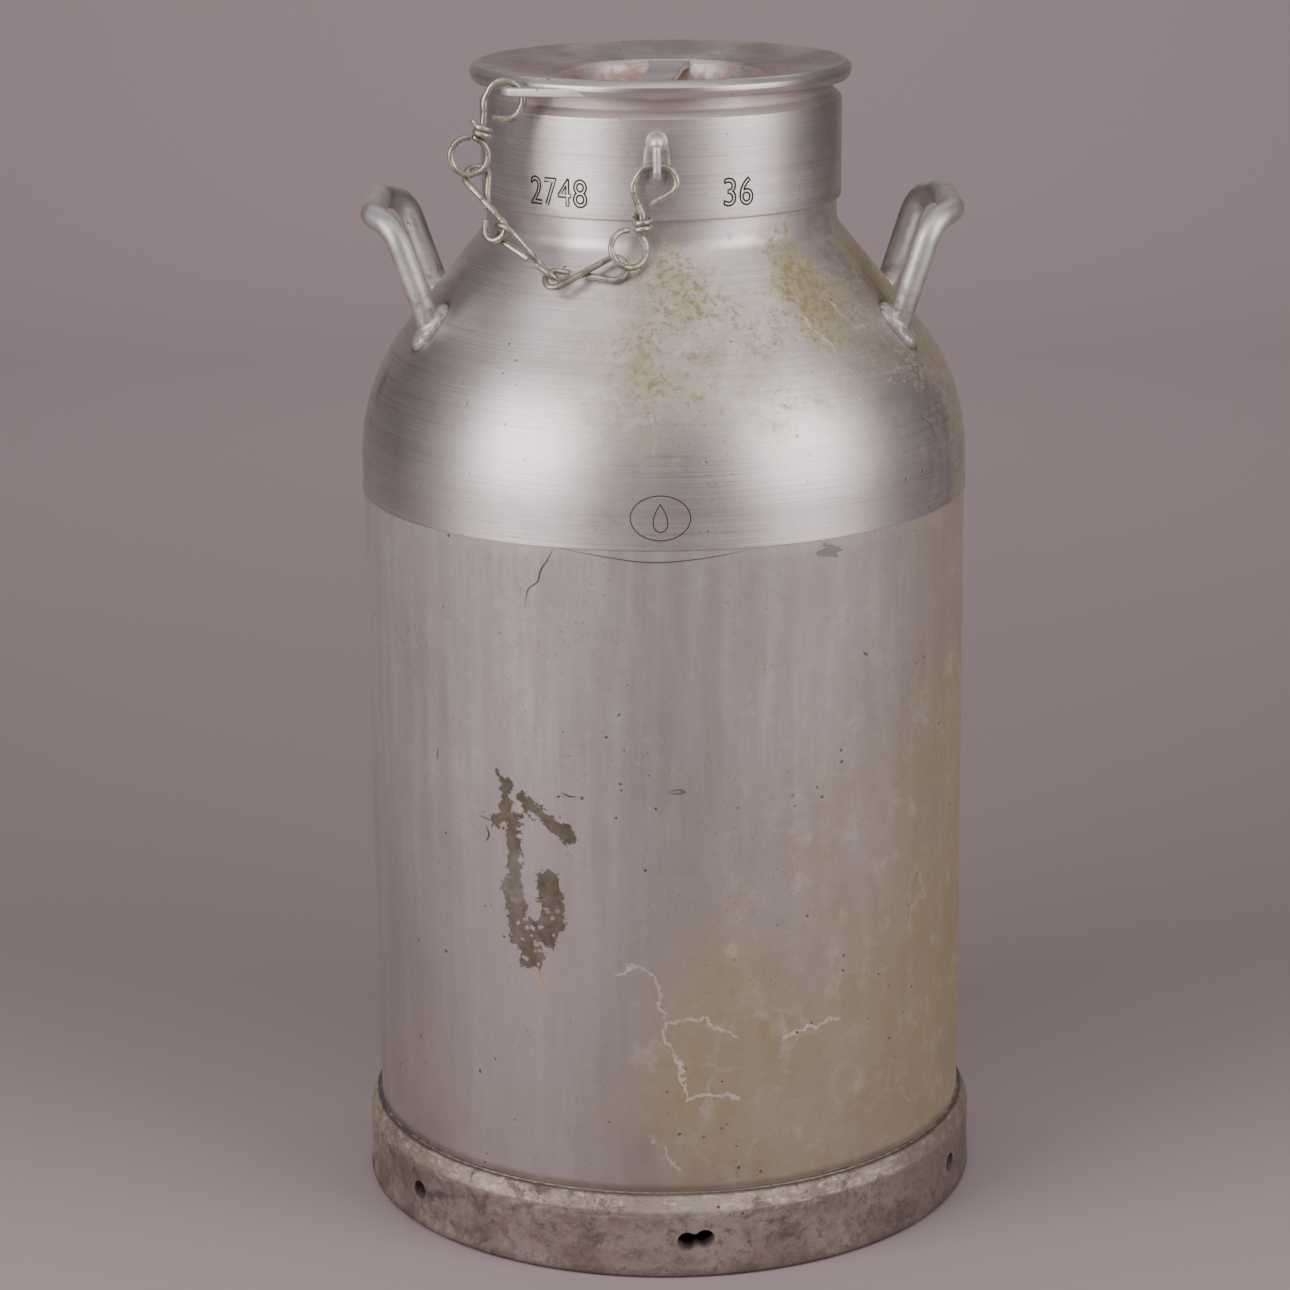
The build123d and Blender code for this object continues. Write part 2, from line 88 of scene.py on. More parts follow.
def mesh_of(name, verts, faces):
    mesh = bpy.data.meshes.new(name)
    mesh.from_pydata([tuple(v) for v in verts], [], faces)
    mesh.update()
    return mesh


def shade_smooth(mesh):
    mesh.polygons.foreach_set("use_smooth", [True] * len(mesh.polygons))
    mesh.set_sharp_from_angle(angle=CREASE)


def add_mesh(name, verts, faces, body, slot, material, replaces=()):
    """Makes one smooth-shaded piece, rides it on its body and stands it in for CAD nodes."""
    return add_piece(name, mesh_of(name, verts, faces), body, slot, material, replaces)


def add_piece(name, mesh, body, slot, material, replaces=()):
    # the CAD nodes keep their own names, so a new piece's name has a suffix
    piece = put(name + "_skin", mesh)
    tidy = bmesh.new()
    tidy.from_mesh(mesh)
    bmesh.ops.remove_doubles(tidy, verts=tidy.verts, dist=1e-6)
    bmesh.ops.recalc_face_normals(tidy, faces=tidy.faces)
    tidy.to_mesh(mesh)
    tidy.free()
    mesh.materials.clear()
    mesh.materials.append(material)
    shade_smooth(mesh)
    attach(piece, body)
    if replaces:
        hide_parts(*replaces)
    return piece


def evaluated(piece):
    """The mesh of an object with its modifiers applied."""
    bpy.context.view_layer.update()
    graph = bpy.context.evaluated_depsgraph_get()
    return bpy.data.meshes.new_from_object(piece.evaluated_get(graph))


def baked(piece):
    """The same mesh, and the object is removed."""
    mesh = evaluated(piece)
    bpy.data.objects.remove(piece)
    return mesh


def angles(count):
    """So many equal steps round a circle."""
    return [2 * pi * step / count for step in range(count)]


def polar(angle):
    return Vector((cos(angle), sin(angle)))


def out_at(turn, r=1.0, z=0.0):
    """The point at a turn in radians from the front, a radius and a height."""
    return Vector((r * sin(turn), -r * cos(turn), z))


def grid(rings, sides, closed=False):
    """Faces between neighbouring rings of points; closed joins the last ring to the first."""
    faces = []
    for ring in range(rings if closed else rings - 1):
        here, there = ring * sides, (ring + 1) % rings * sides
        for side in range(sides):
            after = (side + 1) % sides
            faces.append([here + side, here + after, there + after, there + side])
    return faces


def strip(count):
    """Faces of a band between two lines of points that take turns."""
    return [[n, n + 1, n + 3, n + 2] for n in range(0, 2 * count - 2, 2)]


def capped(rings, sides):
    """Faces of an open grid, with one more over its first ring and one over its last."""
    last = (rings - 1) * sides
    return grid(rings, sides) + [list(range(sides))[::-1], list(range(last, last + sides))]


def mound(rings, sides, place):
    """Rings of points from a middle out to a rim; place takes the share of the way and the angle."""
    return [place(ring / rings, angle) for ring in range(rings + 1) for angle in angles(sides)]


def rounded(corners, steps=5):
    """Closed outline from (radius, height, rounding) corners, with arcs at rounded corners."""
    outline = []
    count = len(corners)
    for index, (r, z, rounding) in enumerate(corners):
        here = Vector((r, z))
        if rounding == 0:
            outline.append(here)
            continue
        before = Vector(corners[index - 1][:2]) - here
        after = Vector(corners[(index + 1) % count][:2]) - here
        outline += corner_arc(here, before.normalized(), after.normalized(), rounding, steps)
    return outline


def corner_arc(here, before, after, radius, steps):
    """Points of the arc that rounds a corner; before and after point away from the corner."""
    half = before.angle(after) / 2
    if half > radians(89.5):
        return [here]
    reach = radius / tan(half)
    middle = here + (before + after).normalized() * (radius / sin(half))
    start = here + before * reach - middle
    end = here + after * reach - middle
    sweep = start.angle(end)
    points = []
    for step in range(steps + 1):
        share = step / steps
        mix = (start * sin((1 - share) * sweep) + end * sin(share * sweep)) / sin(sweep)
        points.append(middle + mix)
    return points


def dense(outline, longest):
    """The closed outline with extra points, so that no side is longer than this."""
    result = []
    for index, here in enumerate(outline):
        there = outline[(index + 1) % len(outline)]
        pieces = max(1, ceil((there - here).length / longest))
        result += [here.lerp(there, step / pieces) for step in range(pieces)]
    return result


def lathe(name, outline, around, body, slot, material, shape=None):
    """Turned piece from a closed outline of (radius, height); shape may move each point."""
    verts, faces, rings = [], [], []
    for r, z in outline:
        if r < 1e-6:
            rings.append([len(verts)] * around)
            verts.append(Vector((0, 0, z)))
            continue
        rings.append(list(range(len(verts), len(verts) + around)))
        for turn in angles(around):
            spot = out_at(turn, r, z)
            verts.append(shape(spot, r, turn) if shape else spot)
    for low, high in zip(rings, rings[1:] + rings[:1]):
        for step in range(around):
            after = (step + 1) % around
            face = list(dict.fromkeys([low[step], low[after], high[after], high[step]]))
            if len(face) > 2:
                faces.append(face)
    return add_mesh(name, verts, faces, body, slot, material, [name])


def bent_path(points, radii, step):
    """Smooth closely spaced points along a bent wire, with one radius per inner corner."""
    points = [Vector(p) for p in points]
    path = [points[0]]
    for index in range(1, len(points) - 1):
        here = points[index]
        before = (points[index - 1] - here).normalized()
        after = (points[index + 1] - here).normalized()
        radius = radii[index - 1]
        steps = max(4, round(radius * (pi - before.angle(after)) / step))
        path += corner_arc(here, before, after, radius, steps)
    path.append(points[-1])
    return spaced(path, step)


def spaced(path, step):
    """The same line with its long runs divided."""
    result = [path[0]]
    for here, there in zip(path, path[1:]):
        pieces = max(1, round((there - here).length / step))
        result += [here.lerp(there, share / pieces) for share in range(1, pieces + 1)]
    return result


def tube(path, radius, sides=14):
    """Verts and faces of a round bar along a path; radius may be a function of 0..1."""
    size = radius if callable(radius) else (lambda share: radius)
    verts = []
    lengths = [0.0]
    for here, there in zip(path, path[1:]):
        lengths.append(lengths[-1] + (there - here).length)
    side = None
    for index, here in enumerate(path):
        ahead = path[min(index + 1, len(path) - 1)] - path[max(index - 1, 0)]
        ahead.normalize()
        if side is None:
            side = ahead.orthogonal().normalized()
        side = (side - ahead * side.dot(ahead)).normalized()
        other = ahead.cross(side)
        wide = size(lengths[index] / lengths[-1])
        verts += [here + (side * cos(angle) + other * sin(angle)) * wide for angle in angles(sides)]
    return verts, capped(len(path), sides)


def joined(parts):
    verts, faces = [], []
    for more_verts, more_faces in parts:
        start = len(verts)
        verts += more_verts
        faces += [[index + start for index in face] for face in more_faces]
    return verts, faces


def welded(parts, voxel, smoothing):
    """One skin over overlapping solids, with the inner corners filled as weld metal fills them."""
    piece = put("welded", mesh_of("welded", *joined(parts)))
    remesh = piece.modifiers.new("remesh", "REMESH")
    remesh.mode = "VOXEL"
    remesh.voxel_size = voxel
    smooth = piece.modifiers.new("smooth", "SMOOTH")
    smooth.iterations = smoothing
    smooth.factor = 0.5
    return baked(piece)


# ---- the can's outer shape ----
def shoulder_points(offset):
    """Shoulder profile from the seam up to the collar, moved inwards by offset."""
    big = ARC_R - offset
    small = NECK_FILLET + offset
    points = [Vector((BODY_R - offset, SEAM_TOP))]
    for step in range(25):
        angle = SLOPE * step / 24
        points.append(Vector((BODY_R - ARC_R + big * cos(angle), ARC_Z + big * sin(angle))))
    cone_low = points[-1]
    fillet_r = NECK_R + NECK_FILLET
    cone_r = fillet_r - small * cos(SLOPE)
    neck_z = cone_low.y + (cone_low.x - cone_r) / tan(SLOPE) + small * sin(SLOPE)
    for step in range(9):
        angle = SLOPE * (1 - step / 8)
        points.append(Vector((fillet_r - small * cos(angle), neck_z - small * sin(angle))))
    points.append(Vector((NECK_R - offset, COLLAR_Z)))
    return points


PROFILE = shoulder_points(0)


def can_radius(z):
    """Outer radius of the can at a height."""
    if z < SEAM_TOP:
        return BODY_R
    if z > COLLAR_Z:
        share = (z - COLLAR_Z) / (COLLAR_BEVEL_Z - COLLAR_Z)
        return COLLAR_R + COLLAR_FLARE * min(1.0, share)
    for low, high in zip(PROFILE, PROFILE[1:]):
        if low.y <= z <= high.y:
            return low.x + (high.x - low.x) * (z - low.y) / max(1e-9, high.y - low.y)
    return NECK_R


LEG_Y = 0.056
LEG_TOP_Z = 0.59
GRIP_Z = 0.595
GRIP_Y = 0.038
GRIP_OUT = 0.0135
GRIP_BEND = 0.017
LEG_SINK_Z = 0.524            # each leg's end is buried in the shoulder here
LEAN_Z = 0.56
LEANS = {"left": (-0.1422, -0.344), "right": (0.1433, 0.321)}    # x at LEAN_Z, and x per z
PAD_HALF_UP = 0.0165
PAD_HALF_ACROSS = 0.01
PAD_RISE = 0.0052


def leg_x(side, z):
    at_ref, lean = LEANS[side]
    return at_ref + lean * (z - LEAN_Z)


def leg_foot(side, y):
    """Point where the middle line of a leg meets the shoulder."""
    low, high = LEG_SINK_Z - 0.01, LEG_TOP_Z
    for _ in range(40):
        middle = (low + high) / 2
        if hypot(leg_x(side, middle), y) < can_radius(middle):
            low = middle
        else:
            high = middle
    return Vector((leg_x(side, low), y, low))


DENTS = [  # turn in degrees, height, half width, depth
    (62, 0.15, 0.04, 0.0011), (-58, 0.33, 0.05, 0.0009), (20, 0.11, 0.06, 0.0006),
    (140, 0.3, 0.05, 0.0012), (-150, 0.19, 0.045, 0.001), (-100, 0.12, 0.05, 0.0009),
    (95, 0.38, 0.045, 0.0008), (178, 0.42, 0.04, 0.0008),
]


def sheet_wobble(spot, r, turn):
    """Small dents and waves of used sheet metal, all inwards."""
    push = 0.00025 * (1 + noise.noise(spot * 9)) + 0.00008 * (1 + noise.noise(spot * 30))
    for dent_turn, height, width, depth in DENTS:
        apart = (turn - radians(dent_turn) + pi) % (2 * pi) - pi
        far = hypot(apart * r, spot.z - height) / width
        push += depth * exp(-far * far * 2)
    scale = 1 - push / r
    return Vector((spot.x * scale, spot.y * scale, spot.z))


# ---- materials ----
def rgba(colour):
    return (*colour, 1.0) if isinstance(colour, tuple) else colour


class Term:
    """One number inside a material, so that sums of textures are written as sums."""

    def __init__(self, paint, socket):
        self.paint = paint
        self.socket = socket

    def __add__(self, other):
        return self.paint.math("ADD", self, other)

    def __sub__(self, other):
        return self.paint.math("SUBTRACT", self, other)

    def __rsub__(self, other):
        return self.paint.math("SUBTRACT", other, self)

    def __mul__(self, other):
        return self.paint.math("MULTIPLY", self, other)

    __radd__ = __add__
    __rmul__ = __mul__

    def ramp(self, low, high):
        """0 below low, 1 above high, smooth between; low may be above high."""
        at_low = float(low > high)
        values = {
            "Value": self, "From Min": min(low, high), "From Max": max(low, high),
            "To Min": at_low, "To Max": 1 - at_low,
        }
        node = self.paint.node("MapRange", values, interpolation_type="SMOOTHSTEP")
        return Term(self.paint, node.outputs["Result"])


class Paint:
    """A material under construction, with the colour that its layers have given so far."""

    def __init__(self, name):
        self.material = bpy.data.materials.new(name)
        self.material.use_nodes = True
        self.tree = self.material.node_tree
        self.shader = self.tree.nodes["Principled BSDF"]
        self.place = self.node("TexCoord").outputs["Object"]
        split = self.node("SeparateXYZ", {0: self.place})
        self.x, self.y, self.z = [Term(self, socket) for socket in split.outputs]
        self.turn = self.math("ARCTAN2", self.x, self.y * -1)

    def set(self, socket, value):
        value = value.socket if isinstance(value, Term) else value
        if isinstance(value, bpy.types.NodeSocket):
            self.tree.links.new(value, socket)
        else:
            socket.default_value = value

    def node(self, kind, inputs=(), **settings):
        """A new node with these settings, its inputs set or linked by name or number."""
        node = self.tree.nodes.new("ShaderNode" + kind)
        for name, value in settings.items():
            setattr(node, name, value)
        for key, value in dict(inputs).items():
            self.set(node.inputs[key], value)
        return node

    def math(self, operation, *values):
        return Term(self, self.node("Math", enumerate(values), operation=operation).outputs[0])

    def least(self, first, second):
        return self.math("MINIMUM", first, second)

    def most(self, first, second):
        return self.math("MAXIMUM", first, second)

    def length(self, a, b):
        return self.math("SQRT", a * a + b * b)

    def noise(self, scale, detail=4.0, rough=0.55, warp=0.0):
        """Noise from 0 to 1; scale is per metre, one number or one for each axis."""
        scales = scale if isinstance(scale, tuple) else (scale, scale, scale)
        place = self.node("VectorMath", {0: self.place, 1: scales}, operation="MULTIPLY").outputs[0]
        values = {"Vector": place, "Scale": 1.0, "Detail": detail, "Roughness": rough, "Distortion": warp}
        return Term(self, self.node("TexNoise", values).outputs["Fac"])

    def line_noise(self, value, scale):
        """Noise that changes only with one number, for rings about the axis."""
        values = {"W": value, "Scale": scale, "Detail": 4.0, "Roughness": 0.65}
        return Term(self, self.node("TexNoise", values, noise_dimensions="1D").outputs["Fac"])

    def cells(self, scale, warp=0.0, feature="F1"):
        """Distance within cells, or to their edges, with the cells' outlines warped by noise."""
        cloud = self.node("TexNoise", {"Vector": self.place, "Scale": scale * 1.7, "Detail": 5.0})
        values = {0: cloud.outputs["Color"], 1: (warp, warp, warp), 2: self.place}
        bent = self.node("VectorMath", values, operation="MULTIPLY_ADD")
        node = self.node("TexVoronoi", {"Vector": bent.outputs[0], "Scale": scale}, feature=feature)
        return Term(self, node.outputs["Distance"])

    def tint(self, share, first, second):
        """Colour that goes from first to second."""
        values = {0: share, 6: rgba(first), 7: rgba(second)}
        return self.node("Mix", values, data_type="RGBA").outputs[2]

    def lay(self, share, colour):
        """One more layer of colour over those so far."""
        self.colour = self.tint(share, self.colour, colour)

    def bump(self, height, depth):
        """Raises the surface by height times depth metres."""
        node = self.node("Bump", {"Strength": 1.0, "Distance": depth, "Height": height})
        self.set(self.shader.inputs["Normal"], node.outputs[0])

    def finish(self, roughness, metallic, anisotropy=0.0):
        values = {"Base Color": self.colour, "Roughness": roughness, "Metallic": metallic}
        if anisotropy:
            # the rings run along the tangent, so the shine spreads across it
            tangent = self.node("Tangent", direction_type="RADIAL", axis="Z").outputs[0]
            values |= {"Anisotropic": anisotropy, "Anisotropic Rotation": 0.25, "Tangent": tangent}
        for name, value in values.items():
            self.set(self.shader.inputs[name], value)
        return self.material

    def near(self, turn_deg, height, wide, tall):
        """1 at a place on the can's side, 0 beyond an oval of these half sizes."""
        across = (self.turn - radians(turn_deg)) * (BODY_R / wide)
        up = (self.z - height) * (1 / tall)
        return self.length(across, up).ramp(1.0, 0.0)

    def stroke_distance(self, points, sway=0.0):
        """Distance in metres from a broken line of (turn in degrees, height) points."""
        result = None
        shift_x = (self.noise(75, 5, 0.65) - 0.5) * sway
        shift_z = (self.noise(68, 5, 0.65, 0.3) - 0.5) * sway
        for (turn_a, z_a), (turn_b, z_b) in zip(points, points[1:]):
            ax = radians(turn_a) * BODY_R
            dx = radians(turn_b) * BODY_R - ax
            dz = z_b - z_a
            across = self.turn * BODY_R - ax + shift_x
            up = self.z - z_a + shift_z
            share = (across * dx + up * dz) * (1 / (dx * dx + dz * dz))
            share = self.most(self.least(share, 1.0), 0.0)
            far = self.length(across - share * dx, up - share * dz)
            result = far if result is None else self.least(result, far)
        return result


METAL_DARK = (0.34, 0.298, 0.295)
METAL_LIGHT = (0.68, 0.64, 0.635)
SHEET_DARK = (0.265, 0.23, 0.228)
OLIVE = (0.225, 0.185, 0.055)
OCHRE = (0.42, 0.34, 0.195)
LIME = (0.66, 0.635, 0.6)
BROWN = (0.16, 0.115, 0.085)
# dark of pits and specks, and also the painted shade round the handles' weld pads
GRIME_AND_SHADE = (0.075, 0.06, 0.045)

PATCH_STROKES = [  # residue left on the barrel: half width in metres, then a broken line
    (0.0014, [(-33, 0.296), (-32, 0.291), (-30.3, 0.29)]),
    (0.0026, [(-30.9, 0.286), (-31.2, 0.28), (-31.4, 0.268)]),
    (0.004, [(-33.2, 0.267), (-29.4, 0.268), (-29.6, 0.25), (-29.4, 0.234)]),
    (0.0038, [(-27.0, 0.282), (-24.6, 0.275), (-20.5, 0.268), (-17.8, 0.261)]),
    (0.0072, [(-29.8, 0.228), (-28.6, 0.205), (-25.9, 0.188)]),
    (0.0074, [(-22.3, 0.233), (-21.6, 0.218), (-23.6, 0.203), (-26.5, 0.205)]),
]
BARREL_VEINS = [  # jagged pale lines of lime scale on the barrel
    [(-9.5, 0.184), (-6.9, 0.188), (-2.7, 0.1836), (-1.5, 0.1656), (-1.0, 0.1565), (-0.5, 0.138),
     (2.4, 0.126), (2.8, 0.111), (10.9, 0.109), (12.6, 0.103)],
    [(-1.0, 0.1565), (6.4, 0.157), (11.9, 0.1425)],
    [(22.0, 0.138), (28.0, 0.143), (33.0, 0.146)],
    [(-4.0, 0.084), (-0.5, 0.073), (1.5, 0.067)],
]
SHOULDER_VEINS = [
    [(-17.0, 0.512), (-13.0, 0.518), (-9.0, 0.512), (-7.6, 0.498), (-2.5, 0.5), (-1.8, 0.484)],
    [(-2.0, 0.54), (2.5, 0.532), (6.5, 0.536), (9.0, 0.521), (8.2, 0.505)],
    [(14.0, 0.566), (18.0, 0.574), (23.0, 0.566)],
    [(46.0, 0.552), (50.0, 0.536), (57.0, 0.53), (61.0, 0.512)],
    [(36.0, 0.545), (40.0, 0.53), (39.0, 0.512)],
]


def fine_wear(paint, amount=1.0, scratched=0.25, worn=0.0):
    """Pits, specks and small upright scratches, more of them where worn is high."""
    chosen = (paint.noise(14, 4, 0.6) + worn).ramp(0.47, 0.6)
    speck = paint.cells(88, 0.004).ramp(0.1, 0.06) * chosen * amount
    dust = paint.cells(270, 0.002).ramp(0.19, 0.1) * paint.noise(31, 3).ramp(0.46, 0.6)
    if scratched:
        line = paint.noise((800, 800, 36), 2, 0.6, 0.4).ramp(0.69, 0.78)
        paint.lay(line * paint.noise(22, 3).ramp(0.48, 0.66) * scratched, METAL_LIGHT)
    paint.lay(dust * 0.55 * amount, BROWN)
    paint.lay(speck * 0.85, GRIME_AND_SHADE)
    return speck


def veins(paint, lines, half, jitter):
    """Jagged thin lines at given places, broken up and wavering."""
    waver = (paint.noise(330, 4, 0.7) - 0.5) * jitter
    nearest = None
    for line in lines:
        far = paint.stroke_distance(line, 0.022)
        nearest = far if nearest is None else paint.least(nearest, far)
    return (nearest + waver).ramp(half * 1.7, half * 0.4) * paint.noise(75, 3).ramp(0.34, 0.48)


def cracks(paint, scale, low, high):
    """Fine branching pale lines wherever a coarse noise is high."""
    edge = paint.cells(scale, 0.03, "DISTANCE_TO_EDGE") + paint.noise(240, 3) * 0.05
    return edge.ramp(0.07, 0.03) * paint.noise(27, 3).ramp(low, high)


def stains(paint, zone, scale, strength, flecked):
    """Soft ochre wash, murk and olive flecks where zone is high; gives wash and flecks."""
    grain = paint.noise(scale, 9, 0.7, 0.15)
    wash = (zone * 0.62 + grain * 0.5).ramp(0.24, 0.92)
    paint.lay(wash * 0.62 * strength, OCHRE)
    murk = (zone * 0.42 + paint.noise(scale * 1.7, 9, 0.74, 0.1)).ramp(0.58, 1.0)
    paint.lay(murk * 0.55 * strength, OLIVE)
    pale = paint.noise(scale * 2.6, 8, 0.74, 0.2).ramp(0.52, 0.68) * zone.ramp(0.05, 0.5)
    paint.lay(pale * 0.3 * strength, LIME)
    fleck = (paint.noise(scale * 7.0, 7, 0.74, 0.1) + zone * 0.1 + grain * 0.16).ramp(0.655, 0.735)
    fleck = fleck * (zone + (grain - 0.5) * 1.6).ramp(0.34, 0.8)
    paint.lay(fleck * 0.8 * strength * flecked, OLIVE)
    return wash, paint.most(fleck * flecked, murk * 0.6)


def barrel_paint():
    """Dull oxidised sheet: faintly streaked, with an ochre bloom on the right and old residue."""
    paint = Paint("barrel_metal")
    cloud = paint.noise(9, 5, 0.6, 0.2)
    streak = paint.noise((85, 85, 7), 5, 0.65)
    mottle = paint.noise(150, 6, 0.7)
    paint.colour = paint.tint(cloud.ramp(0.3, 0.7), (0.335, 0.294, 0.294), (0.4, 0.353, 0.355))
    paint.lay(streak.ramp(0.4, 0.75) * 0.26, METAL_LIGHT)
    paint.lay(streak.ramp(0.45, 0.22) * 0.28, SHEET_DARK)
    paint.lay(mottle.ramp(0.46, 0.8) * 0.34, SHEET_DARK)
    paint.lay(mottle.ramp(0.44, 0.2) * 0.3, METAL_LIGHT)

    bloom = paint.turn.ramp(-0.34, 0.62) * paint.turn.ramp(2.9, 1.9) * paint.z.ramp(0.56, 0.08)
    edge = paint.turn.ramp(0.55, 1.25) * paint.turn.ramp(2.5, 1.7)
    zone = bloom * 0.66 + edge * 0.42 + paint.near(3, 0.12, 0.085, 0.135) * 0.6
    zone = zone + paint.near(72, 0.17, 0.04, 0.055) * 0.4 + paint.near(-152, 0.15, 0.12, 0.18) * 0.8
    zone = zone + (paint.noise(15, 6, 0.7) - 0.5) * 0.8 * zone.ramp(0.0, 0.3)
    # painted shade: the barrel's colour darkens smoothly towards the bottom
    paint.lay(paint.z.ramp(0.44, 0.05) * 0.58, (0.265, 0.215, 0.198))
    wash, crust = stains(paint, zone, 17, 0.8, 0.22)
    paint.lay(zone * 0.26, (0.205, 0.165, 0.115))
    crack = veins(paint, BARREL_VEINS, 0.0009, 0.003) + cracks(paint, 23, 0.5, 0.62) * zone * 0.3
    paint.lay(crack * 0.5, LIME)

    ragged = (paint.noise(230, 5, 0.75) - 0.5) * 0.015 + (paint.noise(85, 4) - 0.5) * 0.012
    residue = None
    for half, line in PATCH_STROKES:
        far = paint.stroke_distance(line, 0.012) + ragged
        mask = far.ramp(half + 0.0005, half - 0.0003)
        residue = mask if residue is None else paint.most(residue, mask)
    holes = paint.cells(190, 0.004).ramp(0.26, 0.34)
    low_part = paint.z.ramp(0.232, 0.205)
    residue = residue * paint.most(holes, 1.0 - low_part)
    tone = paint.tint(mottle.ramp(0.3, 0.7), (0.07, 0.05, 0.033), (0.135, 0.106, 0.076))
    paint.lay(residue, tone)
    drip = paint.stroke_distance([(-25.0, 0.183), (-23.7, 0.1715)]).ramp(0.0011, 0.0005)
    paint.lay(drip * 0.6, (0.42, 0.22, 0.09))

    scuff = paint.noise((130, 130, 520), 5, 0.7, 0.6)
    blot = (paint.near(30.5, 0.4235, 0.016, 0.0075) + (scuff - 0.5) * 2.2).ramp(0.42, 0.6)
    blot = blot * paint.near(30.5, 0.4235, 0.019, 0.0095).ramp(0.02, 0.25)
    paint.lay(blot * 0.75, (0.13, 0.122, 0.125))
    low_dirt = paint.z.ramp(0.13, 0.052) * paint.noise(20, 5).ramp(0.28, 0.75)
    paint.lay(low_dirt * 0.42, (0.21, 0.165, 0.125))
    paint.lay(paint.z.ramp(0.0565, 0.0525) * 0.75, BROWN)

    patina = paint.noise((30, 30, 18), 7, 0.72, 0.3).ramp(0.42, 0.66)
    paint.lay(patina * 0.3, (0.335, 0.285, 0.275))
    pitted = paint.near(-52, 0.16, 0.08, 0.13) * 0.16
    speck = fine_wear(paint, 1.0, 0.25, pitted)
    covered = paint.most(residue, crust * 0.7)
    rough = 0.52 + cloud * 0.08 + mottle * 0.12 + covered * 0.24 + wash * 0.06
    metal = 0.66 - covered * 0.55 - wash * 0.12
    paint.bump(residue * 1.2 - speck * 1.4 + mottle * 0.8 + streak * 0.5 + crack * 0.5, 0.00016)
    return paint.finish(rough, metal, 0.3)


def turned_paint(name, stained, lines=1.0, collar=False):
    """Turned metal with broken fine rings round the can, as the shoulder and the neck have."""
    paint = Paint(name)
    fine = paint.noise((8, 8, 1050), 4, 0.8)
    band = paint.noise((4, 4, 430), 4, 0.75)
    broad = paint.noise((2.5, 2.5, 95), 3, 0.6)
    grit = paint.noise(420, 5, 0.75)
    cloud = paint.noise(13, 5, 0.6)
    paint.colour = paint.tint(cloud.ramp(0.3, 0.7), (0.58, 0.535, 0.532), (0.68, 0.638, 0.634))
    paint.lay(fine.ramp(0.48, 0.72) * 0.6 * lines, (0.82, 0.78, 0.775))
    paint.lay(fine.ramp(0.47, 0.26) * 0.5 * lines, METAL_DARK)
    paint.lay(band.ramp(0.55, 0.72) * 0.4 * lines, METAL_DARK)
    paint.lay(broad.ramp(0.52, 0.7) * 0.1 * lines, METAL_DARK)
    paint.lay(grit.ramp(0.5, 0.76) * 0.3, METAL_DARK)
    cover = wash = paint.math("MULTIPLY", 0.0, 0.0)
    if stained:
        right = paint.near(46, 0.54, 0.13, 0.11) * 0.6 + paint.near(39, 0.565, 0.048, 0.046) * 0.66
        right = right + paint.turn.ramp(0.9, 1.35) * paint.turn.ramp(2.4, 1.8) * 0.62
        middle = paint.near(0, 0.532, 0.11, 0.1) * 0.74 + paint.near(-1, 0.575, 0.062, 0.036) * 0.35
        zone = right + middle + paint.near(165, 0.52, 0.13, 0.09) * 0.8
        zone = zone + (paint.noise(24, 6, 0.7) - 0.5) * 0.9 * zone.ramp(0.0, 0.3)
        wash, cover = stains(paint, zone, 30, 0.86, 0.96)
        crack = veins(paint, SHOULDER_VEINS, 0.001, 0.003) + cracks(paint, 36, 0.46, 0.58) * zone * 0.4
        paint.lay(crack * 0.55, LIME)
        smudge = paint.near(-12, 0.447, 0.022, 0.014) * paint.noise(60, 5, 0.7).ramp(0.3, 0.7)
        smudge = smudge + paint.near(-76, 0.497, 0.012, 0.016) * 1.2
        smudge = smudge + paint.near(0.5, 0.482, 0.02, 0.0022) * 0.8
        paint.lay(smudge * 0.42, (0.2, 0.18, 0.18))
        # grime and painted shade in the crevice round each handle's weld pad
        for side in LEANS:
            for leg_y in (-LEG_Y, LEG_Y):
                foot = leg_foot(side, leg_y)
                turn = degrees(atan2(foot.x, -foot.y))
                pad_grime_and_shade = paint.near(turn, foot.z, 0.0175, 0.0185)
                paint.lay(pad_grime_and_shade.ramp(0.04, 0.3) * 0.75, GRIME_AND_SHADE)
        stamp = paint.near(20, 0.59, 0.013, 0.0032) * paint.noise(260, 4, 0.7).ramp(0.46, 0.6)
        paint.lay(stamp * 0.5, (0.22, 0.205, 0.21))
    if collar:
        pink = paint.z.ramp(0.6555, 0.6585) * paint.noise(24, 4).ramp(0.22, 0.6)
        paint.lay(pink * 0.55, (0.46, 0.345, 0.315))
        spots = paint.cells(60, 0.008).ramp(0.15, 0.08) * paint.noise(12, 2).ramp(0.5, 0.6)
        spots = spots * paint.z.ramp(0.634, 0.65)
        paint.lay(spots * 0.85, (0.13, 0.075, 0.045))
        tail = paint.z.ramp(0.612, 0.602) * paint.noise((9, 9, 90), 3).ramp(0.42, 0.66)
        paint.lay(tail * 0.35, METAL_DARK)
        cover = paint.most(cover, spots)
        side_dirt = paint.turn.ramp(0.75, 1.25) * paint.noise((60, 60, 16), 5, 0.7).ramp(0.36, 0.62)
        paint.lay(side_dirt * 0.35, (0.37, 0.33, 0.235))
        wash = pink * 2.6
    speck = fine_wear(paint, 0.8, 0.0)
    rough = (0.335 if stained else 0.36) + cloud * 0.08 + cover * 0.2 + wash * 0.05 + fine * 0.1
    metal = 0.96 - cover * 0.5 - wash * 0.06
    paint.bump(fine * lines + band * 0.5 * lines + grit * 0.5 - speck * 1.5 + cover * 0.8, 0.0001)
    return paint.finish(rough, metal, 0.5)


